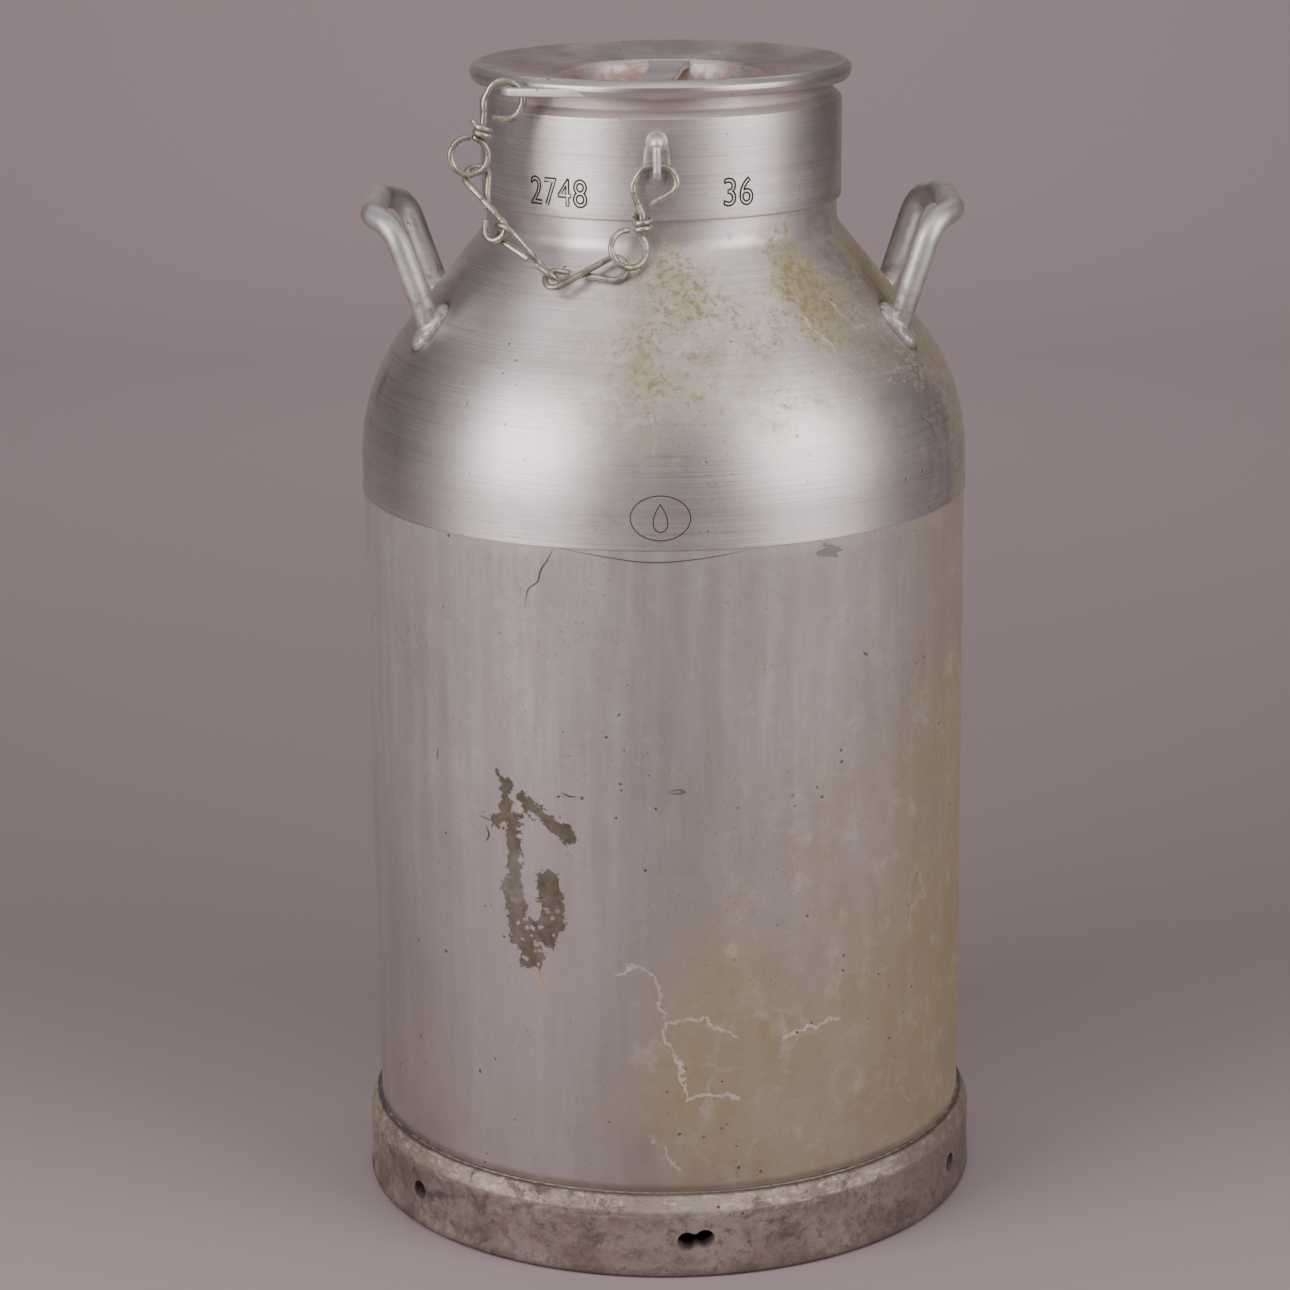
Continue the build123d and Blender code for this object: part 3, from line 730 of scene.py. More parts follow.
def foot_paint():
    """Grey-brown dirty casting with dark smudges, lighter along the bevel at its top."""
    paint = Paint("foot_metal")
    cloud = paint.noise(17, 7, 0.7, 0.5)
    smudge = paint.noise((26, 26, 48), 7, 0.74, 0.9)
    fine = paint.noise(170, 6, 0.75)
    paint.colour = paint.tint(cloud.ramp(0.34, 0.66), (0.17, 0.126, 0.106), (0.345, 0.284, 0.25))
    paint.lay(smudge.ramp(0.54, 0.68) * 0.8, (0.068, 0.06, 0.064))
    paint.lay(fine.ramp(0.48, 0.7) * 0.7, (0.105, 0.082, 0.068))
    paint.lay(fine.ramp(0.44, 0.26) * 0.35, (0.45, 0.41, 0.37))
    # lighter band along the bevel at the top of the ring
    top_bevel_lightening = paint.z.ramp(0.0365, 0.0425) * paint.noise(21, 6, 0.7).ramp(0.3, 0.58)
    top_bevel_lightening = top_bevel_lightening * paint.z.ramp(0.05, 0.0478)
    paint.lay(top_bevel_lightening * 0.42, (0.43, 0.37, 0.285))
    scuff = paint.noise((90, 90, 260), 6, 0.75).ramp(0.52, 0.62) * paint.z.ramp(0.033, 0.041)
    paint.lay(scuff * 0.6, (0.56, 0.5, 0.41))
    spill = paint.noise(58, 8, 0.76).ramp(0.54, 0.64)
    paint.lay(spill * 0.55, (0.095, 0.078, 0.072))
    low = (paint.z + paint.noise(60, 4) * 0.012).ramp(0.015, 0.004)
    paint.lay(low * 0.7, (0.085, 0.062, 0.055))
    shade = paint.turn.ramp(0.35, 1.1) * paint.turn.ramp(2.6, 1.9)
    paint.lay(shade * 0.45, (0.105, 0.08, 0.068))
    joint = paint.z.ramp(0.0485, 0.0498)
    paint.lay(joint * 0.8, (0.095, 0.066, 0.05))
    speck = fine_wear(paint)
    paint.bump(cloud * 1.2 + fine * 0.9 - speck + smudge * 0.5 - spill * 0.4, 0.00045)
    return paint.finish(0.52 + fine * 0.26 - top_bevel_lightening * 0.12, 0.62)


def bar_paint(name, grimy=0.0, light=1.0, feet=False):
    """Smooth drawn bar or weld metal: soft shine, long scratches, grime on welds and feet, and painted
    shade low on the feet.
    """
    paint = Paint(name)
    cloud = paint.noise(36, 6, 0.65)
    fine = paint.noise(340, 4, 0.7)
    dull = tuple(0.44 * light * share for share in (1.0, 0.955, 0.95))
    bright = tuple(0.6 * light * share for share in (1.0, 0.97, 0.965))
    paint.colour = paint.tint(cloud.ramp(0.32, 0.68), dull, bright)
    paint.lay(fine.ramp(0.5, 0.8) * 0.3, METAL_DARK)
    nick = paint.noise((300, 300, 90), 4, 0.65, 0.9).ramp(0.63, 0.7)
    nick = nick * paint.noise(34, 2).ramp(0.46, 0.6)
    paint.lay(nick * 0.72, (0.15, 0.12, 0.1))
    grime = paint.noise(75, 6, 0.7).ramp(0.46, 0.7) * grimy
    if feet:
        # painted shade with grime: the legs and weld pads are darkened below the tops of the pads
        low = paint.z.ramp(0.56, 0.545)
        paint.lay(low * 0.3, METAL_DARK)
        grime = paint.most(grime, low * paint.noise(130, 5, 0.7).ramp(0.46, 0.6) * 0.8)
    paint.lay(grime * 0.75, (0.16, 0.13, 0.085))
    speck = fine_wear(paint, 0.8, 0.0)
    paint.bump(cloud * 1.4 + fine * 0.6 - nick * 1.8 - speck, 0.00016)
    return paint.finish(0.4 + cloud * 0.14 + grime * 0.25 + fine * 0.06, 0.9 - grime * 0.5)


def lid_paint():
    """Pressed lid: rings round the middle, a rosy stain in the bowl and a few orange flecks."""
    paint = Paint("lid_metal")
    radius = paint.length(paint.x, paint.y)
    rings = paint.line_noise(radius, 900)
    wide_rings = paint.line_noise(radius, 210)
    cloud = paint.noise(20, 7, 0.68, 0.4)
    paint.colour = paint.tint(cloud.ramp(0.34, 0.66), (0.36, 0.33, 0.318), (0.545, 0.515, 0.5))
    paint.lay(rings.ramp(0.5, 0.75) * 0.35, METAL_LIGHT)
    paint.lay(wide_rings.ramp(0.5, 0.72) * 0.35, METAL_DARK)
    ochre = paint.noise(15, 6, 0.65).ramp(0.44, 0.66) * 0.45
    paint.lay(ochre, (0.36, 0.315, 0.235))
    inside = radius.ramp(0.0605, 0.058)
    rosy = paint.noise(48, 7, 0.75, 0.5).ramp(0.4, 0.58) * inside
    paint.lay(inside * 0.6, (0.8, 0.765, 0.75))
    paint.lay(rosy * 0.72, (0.36, 0.165, 0.125))
    orange = paint.cells(42, 0.003).ramp(0.085, 0.05) * paint.noise(9, 2).ramp(0.46, 0.56)
    paint.lay(orange * (1.0 - inside) * 0.8, (0.62, 0.27, 0.08))
    rim = radius.ramp(0.1035, 0.1065)
    paint.lay(rim * 0.45, (0.66, 0.64, 0.635))
    speck = fine_wear(paint, 0.9, 0.0)
    paint.bump(rings * 0.6 + wide_rings * 0.8 + cloud - speck * 1.2, 0.00012)
    return paint.finish(0.3 + cloud * 0.18 + rosy * 0.12, 0.95 - rosy * 0.4, 0.35)


def wire_paint():
    """Old bright-drawn wire, dull yellow-grey with patches of darker grime."""
    paint = Paint("chain_wire")
    cloud = paint.noise(90, 6, 0.7)
    fine = paint.noise(600, 4, 0.7)
    paint.colour = paint.tint(cloud.ramp(0.34, 0.66), (0.29, 0.262, 0.205), (0.53, 0.5, 0.445))
    paint.lay(fine.ramp(0.52, 0.76) * 0.4, (0.2, 0.17, 0.12))
    grime = paint.noise(150, 5, 0.7).ramp(0.5, 0.66)
    paint.lay(grime * 0.7, (0.125, 0.1, 0.055))
    paint.bump(cloud + grime * 0.8 + fine * 0.4, 0.00014)
    return paint.finish(0.34 + cloud * 0.16 + grime * 0.22, 0.95 - grime * 0.45)


def dark_paint(name, colour):
    """Dirt packed in an engraved line or a scratch."""
    paint = Paint(name)
    grain = paint.noise(600, 3)
    paint.colour = paint.tint(grain, colour, tuple(c * 2.2 for c in colour))
    return paint.finish(0.75, 0.0)


def rubber_paint():
    paint = Paint("gasket_rubber")
    grain = paint.noise(300, 4)
    paint.colour = paint.tint(grain, (0.03, 0.03, 0.03), (0.085, 0.08, 0.075))
    paint.bump(grain, 0.0001)
    return paint.finish(0.7, 0.0)


BARREL = barrel_paint()
TURNED = turned_paint("shoulder_metal", True)
COLLAR = turned_paint("collar_metal", False, 1.0, True)
SEAM = turned_paint("seam_metal", True, 0.6)
FOOT = foot_paint()
BAR = bar_paint("handle_bar", 0.0, 0.95, True)
LUG = bar_paint("lug_bar", 0.25, 1.15)
WELD_DIRTY = bar_paint("weld_dirty", 1.0, 0.8)
JOINT = bar_paint("joint_dirt", 1.6, 0.32)
INSIDE = bar_paint("inside_metal", 0.4)
LID = lid_paint()
WIRE = wire_paint()
ENGRAVED = dark_paint("engraving_dirt", (0.01, 0.009, 0.008))
SCRATCH = dark_paint("scratch_dirt", (0.045, 0.038, 0.034))
RUBBER = rubber_paint()


# ---- vessel ----
def make_barrel():
    inner = BODY_R - WALL
    corners = [
        (inner, BARREL_LOW, 0), (BODY_R, BARREL_LOW, 0), (BODY_R, SEAM_LOW, 0.0006), (inner, SEAM_LOW, 0),
    ]
    lathe("barrel", dense(rounded(corners, 3), 0.008), 300, "root", "body", BARREL, sheet_wobble)


def make_shoulder():
    outline = shoulder_points(0) + shoulder_points(WALL)[::-1]
    lathe("shoulder", dense(outline, 0.007), 300, "root", "body", TURNED)


def make_collar():
    bore = NECK_R - WALL
    corners = [
        (bore, COLLAR_Z, 0), (COLLAR_R, COLLAR_Z, 0.0011),
        (COLLAR_R + COLLAR_FLARE, COLLAR_BEVEL_Z, 0.0012),
        (COLLAR_R - 0.0045, COLLAR_BEVEL_Z + 0.0046, 0.0016), (COLLAR_R - 0.0045, COLLAR_TOP, 0.001),
        (MOUTH_R, COLLAR_TOP, 0.001), (MOUTH_R, COLLAR_Z + 0.008, 0.004),
    ]
    lathe("neck_collar", dense(rounded(corners), 0.006), 300, "root", "turned", COLLAR)


DRAIN_R = 5.8 * MM
DRAINS = [(turn, 0.023, DRAIN_R) for turn in (-54, 66, 126, 186, 246)]    # turn, height, radius
# the slot at the front is two bores, and the wall between them is worn away
DRAINS += [(2.7, 0.0226, DRAIN_R), (5.9, 0.0238, DRAIN_R), (4.3, 0.0231, 0.74 * DRAIN_R)]


def knocks(spot, r, turn):
    """Knocks in the outside of the foot ring, all inwards and at most 1.2 mm deep."""
    push = 0.0005 * (1 + noise.noise(spot * 26)) + 0.0002 * (1 + noise.noise(spot * 75))
    push = min(push, 0.0012) if r > BODY_R + 0.001 and spot.z > 0.004 else 0.0
    return Vector((spot.x * (1 - push / r), spot.y * (1 - push / r), spot.z))


def make_foot():
    corners = [
        (FOOT_INNER_R, 0, 0.003), (FOOT_R, 0, 0.0026), (FOOT_R, 0.0405, 0.0046),
        (BODY_R + 0.0028, FOOT_TOP, 0.0014), (BODY_R, FOOT_TOP, 0), (BODY_R, BARREL_LOW, 0),
        (FOOT_INNER_R, BARREL_LOW, 0.001),
    ]
    ring = lathe("foot_ring", dense(rounded(corners), 0.0035), 360, "root", "foot", FOOT, knocks)
    for turn, height, hole_r in DRAINS:
        out = out_at(radians(turn))
        centre = out * (FOOT_R + FOOT_INNER_R) / 2 + Vector((0, 0, height))
        drill = tube(spaced([centre - out * 0.02, centre + out * 0.02], 0.01), hole_r, 28)
        cutter = put("drill", mesh_of("drill", *drill))
        cut = ring.modifiers.new("drain", "BOOLEAN")
        cut.operation = "DIFFERENCE"
        cut.solver = "EXACT"
        cut.object = cutter
        mesh = evaluated(ring)
        ring.modifiers.clear()
        ring.data = mesh
        bpy.data.objects.remove(cutter)
    shade_smooth(ring.data)


def make_foot_weld():
    """Uneven fillet weld between foot ring and barrel."""
    verts = []
    around, sides = 540, 8
    for turn in angles(around):
        out = out_at(turn)
        leg = 0.0014 * (1 + 0.14 * sin(turn * 150) + 0.25 * noise.noise(out * 11))
        for side in range(sides + 1):
            angle = pi / 2 * side / sides
            up = Vector((0, 0, FOOT_TOP - 0.0003 + leg * sin(angle)))
            verts.append(out * (BODY_R - 0.0004 + leg * cos(angle)) + up)
        verts.append(out * (BODY_R - 0.0012) + Vector((0, 0, FOOT_TOP - 0.0008)))
    faces = grid(around, sides + 2, closed=True)
    add_mesh("foot_weld", verts, faces, "root", "weld", JOINT, ["foot_weld"])


# ---- handles ----
def weld_mound(foot):
    """Oval mound of weld metal lying on the shoulder, long side up the slope."""
    out = out_at(atan2(foot.x, -foot.y))
    normal = out * cos(SLOPE) + Vector((0, 0, sin(SLOPE)))
    uphill = Vector((0, 0, cos(SLOPE))) - out * sin(SLOPE)
    across = normal.cross(uphill)

    def place(share, angle):
        wide = share * (1 + 0.025 * sin(angle * 17) * share)
        flat = foot + uphill * (PAD_HALF_UP * wide * cos(angle))
        flat += across * (PAD_HALF_ACROSS * wide * sin(angle))
        flat += normal * ((can_radius(flat.z) - hypot(flat.x, flat.y)) * cos(SLOPE))
        return flat + normal * (PAD_RISE * sqrt(max(0.0, 1 - share ** 4)) - 0.0006)

    verts = mound(10, 48, place)
    verts += [v - normal * 0.006 for v in verts[-48:]]
    return verts, capped(12, 48)


def make_handle(side):
    outward = -1 if side == "left" else 1
    top_x = leg_x(side, LEG_TOP_Z)
    half = [
        (leg_x(side, LEG_SINK_Z), LEG_Y, LEG_SINK_Z), (top_x, LEG_Y, LEG_TOP_Z),
        (top_x + outward * GRIP_OUT, GRIP_Y, GRIP_Z),
    ]
    route = [(x, -y, z) for x, y, z in half] + half[::-1]
    bar = tube(bent_path(route, [GRIP_BEND] * 4, 0.002), BAR_R, 28)
    mounds = [weld_mound(leg_foot(side, y)) for y in (-LEG_Y, LEG_Y)]
    nodes = [f"handle_{side}", f"weld_pad_{side}_front", f"weld_pad_{side}_back"]
    add_piece(nodes[0], welded([bar] + mounds, 0.0009, 3), "root", "bar", BAR, nodes)


# ---- lid ----
def make_lid():
    low = RIM_LOW
    corners = [
        (0.103, low + 0.005, 0), (0.103, low, 0.0008), (LID_R - 0.0016, low, 0.0018),
        (LID_R, low + 0.004, 0.003), (LID_R, low + 0.0066, 0.002), (LID_R - 0.0032, low + 0.0101, 0.0032),
        (0.1012, low + 0.0097, 0.006), (0.0625, 0.6708, 0.003), (0.0588, 0.669, 0.0016),
        (0.046, 0.644, 0.006), (0.04, 0.638, 0.006), (0, 0.638, 0), (0, 0.6352, 0),
        (0.04, 0.6352, 0.004), (0.049, 0.645, 0.004), (0.0625, 0.666, 0.003),
        (0.0655, 0.6678, 0.002), (0.0892, 0.6724, 0),
    ]
    lathe("lid_cap", dense(rounded(corners), 0.004), 300, "lid", "lid", LID)


LUG_Z = (0.6681, 0.6729)
LUG_ROOT = Vector((-0.029, -0.1032))
LUG_BACK = [Vector((-0.084, -0.066)), Vector((-0.07, -0.074)), Vector((-0.05, -0.0905))]
LUG_EYE = Vector((-0.0795, -0.0837))
LUG_EYE_R = 0.0049
LUG_TIP_R = 0.0094
LUG_EDGE = 0.0008


def make_lug():
    """Flat tab with a round end and an eye, leaving the rim at a tangent."""
    ahead = (LUG_EYE - LUG_ROOT).normalized()
    side = Vector((-ahead.y, ahead.x))
    start = atan2(side.y, side.x)
    tip = [LUG_EYE + polar(start - radians(13 * step)) * LUG_TIP_R for step in range(1, 16)]
    curve = bpy.data.curves.new("lug", "CURVE")
    curve.dimensions = "2D"
    curve.fill_mode = "BOTH"
    curve.bevel_depth = LUG_EDGE
    curve.bevel_resolution = 3
    curve.offset = -LUG_EDGE
    curve.extrude = (LUG_Z[1] - LUG_Z[0]) / 2 - LUG_EDGE
    add_loop(curve, [LUG_ROOT, LUG_EYE + side * LUG_TIP_R] + tip + LUG_BACK)
    add_loop(curve, [LUG_EYE + polar(angle) * LUG_EYE_R for angle in angles(36)])
    mesh = baked(put("lug", curve))
    mesh.transform(Matrix.Translation((0, 0, sum(LUG_Z) / 2)))
    add_piece("lid_lug", mesh, "lid", "bar", LUG, ["lid_lug"])


def add_loop(curve, points):
    spline = curve.splines.new("POLY")
    spline.points.add(len(points) - 1)
    for point, place in zip(spline.points, points):
        point.co = (place.x, place.y, 0, 1)
    spline.use_cyclic_u = True


STRAP_HALF = 0.00975
STRAP_THICK = 0.004
STRAP_REACH = 0.06
STRAP_TURN = radians(-5.5)


def make_strap():
    """Flat grip bar across the bowl, sagging a little and wider towards its back end."""
    under = STRAP_TOP - STRAP_THICK
    outline = rounded([
        (-STRAP_HALF, under, 0.0007), (STRAP_HALF, under, 0.0007),
        (STRAP_HALF, STRAP_TOP, 0.001), (-STRAP_HALF, STRAP_TOP, 0.001),
    ], 3)
    spin = Matrix.Rotation(STRAP_TURN, 4, "Z")
    verts = []
    rows = 26
    for row in range(rows + 1):
        along = -STRAP_REACH + 2 * STRAP_REACH * row / rows
        widen = 1 + 0.3 * max(0.0, (along - 0.04) / 0.02) ** 1.5
        sag = 0.0006 * cos(along / STRAP_REACH * pi / 2)
        verts += [spin @ Vector((point.x * widen, along, point.y - sag)) for point in outline]
    add_mesh("lid_strap", verts, capped(rows + 1, len(outline)), "lid", "bar", BAR, ["lid_strap"])


# ---- chain ----
def in_frame(origin, x_dir, normal):
    """Function from plane coordinates to a point, with the plane's x and normal given."""
    origin, x_dir, normal = Vector(origin), Vector(x_dir).normalized(), Vector(normal).normalized()
    y_dir = normal.cross(x_dir).normalized()
    return lambda u, v, w=0.0: origin + x_dir * u + y_dir * v + normal * w


def wire_piece(name, path, radius):
    """Round wire with its ends broken; it rides the body of its own name."""
    def taper(share):
        return radius * (0.8 if share in (0.0, 1.0) else 1.0)

    start = path[0] + (path[0] - path[1]).normalized() * 0.0002
    end = path[-1] + (path[-1] - path[-2]).normalized() * 0.0002
    add_mesh(name, *tube([start] + path + [end], taper, 16), name, "steel", WIRE, [name])


# middle, direction and face normal of each figure-of-eight link at rest
LINKS = {
    "link_3": ((-0.04312, -0.11137, 0.57234), (0.9838, -0.0377, 0.175), (-0.1422, -0.7588, 0.6357)),
    "link_2": ((-0.07572, -0.10328, 0.58227), (-0.7403, 0.1975, 0.6426), (0.6576, 0.4117, 0.6309)),
    "link_1": ((-0.09837, -0.08848, 0.60886), (-0.3103, 0.4838, 0.8184), (-0.2714, -0.8701, 0.4114)),
}
LINK_HALF = 22.6 * MM
LINK_LOOP_R = 6.2 * MM
LINK_CROSS = 1.9 * MM
WIRE_STEP = 0.8 * MM


def make_link(name):
    """Figure of eight bent from one wire, with one end a little short of closing."""
    place = in_frame(*LINKS[name])
    side = LINK_HALF * tan(asin(LINK_LOOP_R / (LINK_HALF - LINK_LOOP_R)))
    right_up, right_down = [Vector((LINK_HALF, side * way, LINK_CROSS * way)) for way in (1, -1)]
    left_up, left_down = [Vector((-LINK_HALF, side * way, -LINK_CROSS * way)) for way in (1, -1)]
    start = left_up.lerp(right_down, 0.3)
    end = right_down.lerp(left_up, 0.56)
    corners = [start, left_up, left_down, right_up, right_down, end]
    path = bent_path(corners, [LINK_LOOP_R - 0.15 * MM] * 4, WIRE_STEP)
    wire_piece(name, [place(*p) for p in path], WIRE_R)


HOOK_TILT = radians(5)
# routes in the hooks' own planes and the inner radii of their bends, in mm
NECK_HOOK_ROUTE = [
    (-4.0, -9.0), (12.6, 0.2), (8.4, 12.2), (-7.4, 12.6), (-14.0, 1.4), (-8.0, -14.6), (-8.0, -21.5),
]
NECK_HOOK_BENDS = [6.5, 9.0, 8.5, 8.0, 12.0]
NECK_COIL = (-8.0, -19.6)
LID_HOOK_ROUTE = [
    (-7.2, -9.6), (5.6, -10.6), (11.2, 1.0), (5.4, 10.8), (-6.0, 10.8), (-11.4, 0.6), (-11.6, -8.5),
    (-13.2, -19.28),
]
LID_HOOK_BENDS = [8.0, 8.5, 8.5, 8.0, 8.5, 6.0]
LID_COIL = (-12.92, -17.4)
RING_R = 10.5 * MM
COIL_R = 3.95 * MM
COIL_WIRE_R = 1.72 * MM
COIL_PITCH = 3.42 * MM
COIL_TAIL = Vector((-2.6, -0.8, 2.4)) * MM
RING_OPEN = radians(24)       # the ring's wire starts this far from its coil


def make_hook(name, place, route, bends, coil):
    """Pear hook with a headed shank; returns its coil's middle and the shank's direction."""
    path = bent_path([Vector((u, v, 0)) * MM for u, v in route], [b * MM for b in bends], WIRE_STEP)
    path = [place(*p) for p in path]
    wire_piece(name, path, HOOK_R)
    return place(coil[0] * MM, coil[1] * MM), (path[-1] - path[-2]).normalized()


def make_swivel(name, centre, normal, coil, shank):
    """Ring bent from the same wire as the two turns that hold it to the hook's shank."""
    centre, normal = Vector(centre), Vector(normal).normalized()
    u_dir = (coil - centre) - normal * (coil - centre).dot(normal)
    u_dir.normalize()
    v_dir = normal.cross(u_dir)
    turns = [RING_OPEN + radians(4 * step) for step in range(84)]
    ring = [centre + (u_dir * cos(turn) + v_dir * sin(turn)) * RING_R for turn in turns]
    start = ring[-1] - coil
    a_dir = (start - shank * start.dot(shank)).normalized()
    b_dir = shank.cross(a_dir)
    sense = 1 if (ring[-1] - ring[-2]).dot(b_dir) > 0 else -1
    coil_path = []
    for step in range(73):
        angle = sense * 2 * pi * step / 36
        rise = shank * (COIL_PITCH * (1 - step / 36))
        coil_path.append(coil + rise + (a_dir * cos(angle) + b_dir * sin(angle)) * COIL_R)
    bridge = [ring[-1].lerp(coil_path[0], share) for share in (0.33, 0.66)]
    tip = coil_path[-1] + COIL_TAIL
    path = ring + bridge + coil_path + [coil_path[-1].lerp(tip, 0.5), tip]
    for _ in range(3):
        middle = [(a + b * 2 + c) / 4 for a, b, c in zip(path, path[1:], path[2:])]
        path = [path[0]] + middle + [path[-1]]
    wire_piece(name, path, COIL_WIRE_R)


def make_chain():
    for name in LINKS:
        make_link(name)
    tilt = (0, -cos(HOOK_TILT), sin(HOOK_TILT))
    place = in_frame((-0.0032, -0.10892, 0.61864), (1, 0, 0), tilt)
    held = make_hook("neck_hook", place, NECK_HOOK_ROUTE, NECK_HOOK_BENDS, NECK_COIL)
    make_swivel("neck_swivel_ring", (-0.01896, -0.1127, 0.58614), (0.3563, -0.873, 0.3329), *held)
    place = in_frame((-0.0869, -0.0837, 0.665), (1, 0, 0), (0, -1, 0))
    held = make_hook("lid_hook", place, LID_HOOK_ROUTE, LID_HOOK_BENDS, LID_COIL)
    make_swivel("lid_swivel_ring", (-0.10735, -0.08399, 0.6344), (0.026, -0.9997, 0.0), *held)


EYE_X = -3 * MM
EYE_HIGH = 643.2 * MM
EYE_LOW = 624.9 * MM
EYE_OUT = 112.8 * MM
EYE_ROOT = 100.5 * MM
EYE_BAR_R = 2.4 * MM
BOSS_R = 6.2 * MM
PLATE_Z = 633.5 * MM
PLATE_HALF_WIDE = 8.2 * MM
PLATE_HALF_TALL = 16.8 * MM


def dome(share):
    """Radius of the eye's boss from its root, at 0, to its rounded front, at 1."""
    return BOSS_R * sqrt(max(0.02, 1 - (share * 1.45 - 0.45) ** 2)) if share > 0.31 else BOSS_R


def plate_point(share, angle):
    turn = (EYE_X + PLATE_HALF_WIDE * share * cos(angle)) / COLLAR_R
    r = COLLAR_R + 0.0011 * sqrt(max(0.0, 1 - share ** 4)) - 0.0003
    return out_at(turn, r, PLATE_Z + PLATE_HALF_TALL * share * sin(angle))


def make_eye():
    """Forged eye with its boss, and the plate that is welded under it."""
    route = [(EYE_ROOT, EYE_HIGH), (EYE_OUT, EYE_HIGH), (EYE_OUT, EYE_LOW), (EYE_ROOT, EYE_LOW)]
    path = bent_path([(EYE_X, -out, z) for out, z in route], [0.004, 0.004], 0.0006)
    boss = [Vector((EYE_X, -0.101 - 0.0138 * step / 12, EYE_HIGH + 0.0008)) for step in range(13)]
    verts = mound(6, 40, plate_point)
    verts += [v * 0.985 for v in verts[-40:]]
    add_mesh("neck_eye_plate", verts, capped(8, 40), "root", "turned", WELD_DIRTY, ["neck_eye_plate"])
    mesh = welded([tube(path, EYE_BAR_R, 18), tube(boss, dome, 24)], 0.0004, 4)
    add_piece("neck_eye", mesh, "root", "steel", LUG, ["neck_eye"])


# ---- marks on the can ----
def on_can(turn, z, lift=0.0):
    """Point on the can's side at a turn in radians and a height, lifted off the surface."""
    return out_at(turn, can_radius(z) + lift, z)


def ribbon(points, half_width, lift, taper=False):
    """Verts and faces of a thin line lying on the can along (turn in radians, height) points."""
    verts = []
    count = len(points)
    for index, (turn, z) in enumerate(points):
        before = points[max(index - 1, 0)]
        after = points[min(index + 1, count - 1)]
        dx, dz = (after[0] - before[0]) * BODY_R, after[1] - before[1]
        share = min(max(index / (count - 1), 0.04), 0.96)
        wide = half_width * (sin(pi * share) if taper else 1.0) / (hypot(dx, dz) or 1.0)
        for side in (-wide, wide):
            verts.append(on_can(turn - side * dz / can_radius(z), z + side * dx, lift))
    return verts, strip(count)


def solid_ribbons(name, ribbons, slot, material, thick):
    """Joins ribbons into one piece, thickened both ways."""
    piece = put(name, mesh_of(name, *joined(ribbons)))
    solid = piece.modifiers.new("thick", "SOLIDIFY")
    solid.thickness = thick
    solid.offset = 0
    add_piece(name, baked(piece), "root", slot, material)


def smooth_line(points, step_deg=0.6):
    """Closely spaced (turn in radians, height) points through a few (degrees, height) ones."""
    result = []
    count = len(points)
    for index in range(count - 1):
        p0 = Vector(points[max(index - 1, 0)])
        p1, p2 = Vector(points[index]), Vector(points[index + 1])
        p3 = Vector(points[min(index + 2, count - 1)])
        pieces = max(4, round(abs(p2.x - p1.x) / step_deg))
        for step in range(pieces):
            t = step / pieces
            spot = (p1 * 2 + (p2 - p0) * t + (p0 * 2 - p1 * 5 + p2 * 4 - p3) * t * t
                    + (p1 * 3 - p0 - p2 * 3 + p3) * t ** 3) / 2
            result.append((radians(spot.x), spot.y))
    result.append((radians(points[-1][0]), points[-1][1]))
    return result


SCRATCHES = [  # half width, then a line of turns in degrees and heights
    (0.00032, [(-19.1, 0.43), (-11.8, 0.4268), (-2.9, 0.4238), (5.9, 0.4254), (14.9, 0.4292)]),
    (0.00028, [(-20.6, 0.4296), (-21.4, 0.424), (-23.0, 0.4165), (-23.6, 0.41), (-25.6, 0.4045),
               (-26.3, 0.393)]),
    (0.00028, [(0.0, 0.2916), (1.6, 0.2932), (3.0, 0.2918), (1.4, 0.2908), (0.1, 0.2914)]),
    (0.0002, [(-37.4, 0.268), (-34.8, 0.2664), (-33.9, 0.2668)]),
    (0.0003, [(-35.6, 0.2625), (-35.0, 0.257), (-35.8, 0.253)]),
    (0.00025, [(-47.6, 0.301), (-47.9, 0.294)]),
    (0.0004, [(-19.6, 0.289), (-18.3, 0.2872), (-16.9, 0.2872)]),
    (0.0004, [(38.4, 0.361), (39.6, 0.3585)]),
    (0.0003, [(57.0, 0.486), (60.5, 0.479), (61.0, 0.47)]),
    (0.0003, [(150.0, 0.35), (158.0, 0.342), (163.0, 0.344)]),
    (0.0003, [(-120.0, 0.26), (-123.0, 0.236), (-122.0, 0.22)]),
]


def make_scratches():
    ribbons = [ribbon(smooth_line(points), half, 0.00002, True) for half, points in SCRATCHES]
    solid_ribbons("scratches", ribbons, "body", SCRATCH, 0.00008)


def engraved(name, loops, width):
    """Closed engraved outlines filled with dirt, from loops of (turn, height) points."""
    ribbons = [ribbon(loop + loop[:2], width / 2, 0.00003) for loop in loops]
    solid_ribbons(name, ribbons, "turned", ENGRAVED, 0.0001)


def glyph_loops(words, tall, wide_scale):
    """Outlines of a line of figures, as loops of flat points."""
    curve = bpy.data.curves.new("figures", "FONT")
    curve.body = words
    curve.size = tall * 1.38
    curve.fill_mode = "NONE"
    curve.resolution_u = 6
    curve.space_character = 1.06
    mesh = baked(put("figures", curve))
    links = {}
    for edge in mesh.edges:
        a, b = edge.vertices
        links.setdefault(a, []).append(b)
        links.setdefault(b, []).append(a)
    loops, seen = [], set()
    for start in links:
        if start in seen:
            continue
        loop, here, before = [], start, None
        while here not in seen:
            seen.add(here)
            loop.append(Vector((mesh.vertices[here].co.x * wide_scale, mesh.vertices[here].co.y)))
            following = [n for n in links[here] if n != before]
            before, here = here, following[0]
        loops.append(loop)
    return loops


NUMBERS = {"number_left": ("2748", -45.0, 0.6068), "number_right": ("36", 18.5, 0.6075)}


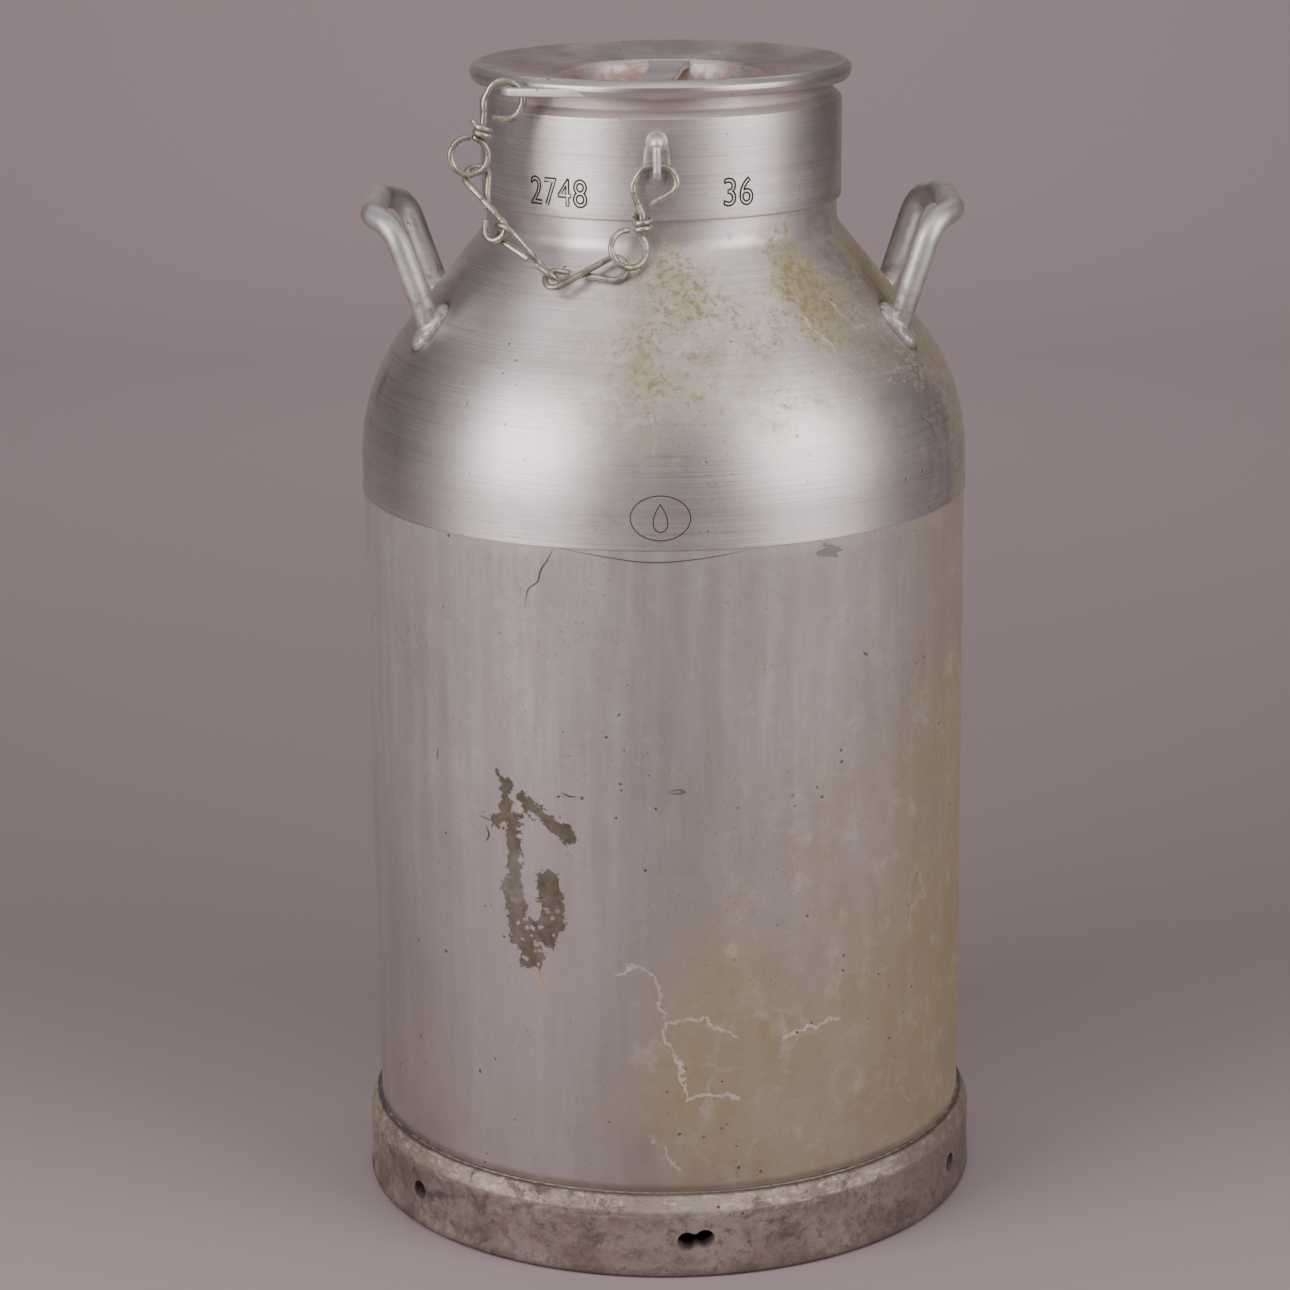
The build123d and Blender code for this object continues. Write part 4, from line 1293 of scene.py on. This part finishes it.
def make_numbers():
    """Two plain groups of figures on the collar, one on each side of the chain's eye."""
    for name, (words, turn_deg, low) in NUMBERS.items():
        start = radians(turn_deg)
        loops = glyph_loops(words, 0.0158, 0.86)
        engraved(name, [[(start + p.x / COLLAR_R, low + p.y) for p in loop] for loop in loops], 0.0011)


def make_mark():
    """A plain drop in a ring, engraved low on the shoulder."""
    turn, height = radians(-1.0), 0.4485
    ring = [(turn + 0.0165 * cos(a) / BODY_R, height + 0.0125 * sin(a)) for a in angles(64)]
    drop = [(turn + 0.0052 * sin(a) * sin(a / 2) / BODY_R, height + 0.0078 * cos(a)) for a in angles(48)]
    engraved("drop_mark", [ring, drop], 0.00055)


# ---- stage ----
def make_stage():
    """Pale floor that bends up into a backdrop, with painted light falloff along it."""
    paint = Paint("stage_grey")
    # painted light falloff: the floor is lighter in front of the can, darker behind it, and lighter again
    # up the backdrop
    paint.colour = paint.tint(paint.y.ramp(-0.45, 0.5), (0.345, 0.277, 0.292), (0.205, 0.162, 0.169))
    paint.lay(paint.y.ramp(0.6, 3.2), (0.32, 0.258, 0.274))
    paint.lay(paint.noise(1.3, 3) * 0.1, (0.33, 0.27, 0.286))
    wide, front, back, bend, high = 9.0, -6.0, 2.6, 1.4, 5.0
    profile = [(front, 0.0), (back, 0.0)]
    for step in range(1, 17):
        angle = pi / 2 * step / 16
        profile.append((back + bend * sin(angle), bend - bend * cos(angle)))
    profile.append((back + bend, high))
    verts = [(x, y, z) for y, z in profile for x in (-wide, wide)]
    mesh = mesh_of("stage", verts, strip(len(profile)))
    mesh.materials.append(paint.finish(0.85, 0.0))
    shade_smooth(mesh)
    put("stage", mesh)


WARM = (1.0, 0.945, 0.935)


def add_light(name, place, target, size, power):
    lamp = bpy.data.lights.new(name, "AREA")
    lamp.shape = "RECTANGLE"
    lamp.size, lamp.size_y = size
    lamp.energy = power
    lamp.color = WARM
    holder = put(name, lamp)
    holder.location = place
    holder.rotation_euler = (Vector(target) - Vector(place)).to_track_quat("-Z", "Y").to_euler()


def make_lights():
    middle = (0, 0, 0.4)
    add_light("left_box", (-1.75, -1.3, 1.15), middle, (1.5, 1.8), 50)
    add_light("right_box", (1.75, -1.3, 1.15), middle, (1.5, 1.8), 41)
    add_light("overhead", (0.0, -1.0, 2.5), (0, 0, 0.5), (2.4, 1.0), 16)
    add_light("backdrop", (0.0, 1.2, 2.6), (0, 3.4, 0.6), (3.0, 0.8), 60)
    world = bpy.data.worlds.new("studio")
    world.use_nodes = True
    sky = world.node_tree.nodes["Background"]
    sky.inputs[0].default_value = (0.6, 0.535, 0.54, 1)
    sky.inputs[1].default_value = 0.3
    bpy.context.scene.world = world


CAMERA_PLACE = Vector((-0.0122, -2.1239, 0.9149))
CAMERA_DOWN = radians(15.4506)
CAMERA_ROLL = radians(0.5692)
CAMERA_LENS = 102.3


def make_camera():
    lens = bpy.data.cameras.new("camera")
    lens.sensor_width = 36
    lens.lens = CAMERA_LENS
    camera = put("camera", lens)
    aim = Matrix.Rotation(pi / 2 - CAMERA_DOWN, 4, "X") @ Matrix.Rotation(-CAMERA_ROLL, 4, "Z")
    camera.matrix_world = Matrix.Translation(CAMERA_PLACE) @ aim
    bpy.context.scene.camera = camera


def paint_cad_nodes():
    """The CAD nodes that stay get the materials of the pieces around them."""
    finishes = {"bottom": INSIDE, "seam_weld": SEAM, "lid_plug": LID, "lid_gasket": RUBBER}
    for node, material in finishes.items():
        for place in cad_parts[node].material_slots:
            place.material = material


make_barrel()
make_shoulder()
make_collar()
make_foot()
make_foot_weld()
make_handle("left")
make_handle("right")
make_lid()
make_lug()
make_strap()
make_chain()
make_eye()
make_scratches()
make_numbers()
make_mark()
paint_cad_nodes()
make_stage()
make_lights()
make_camera()
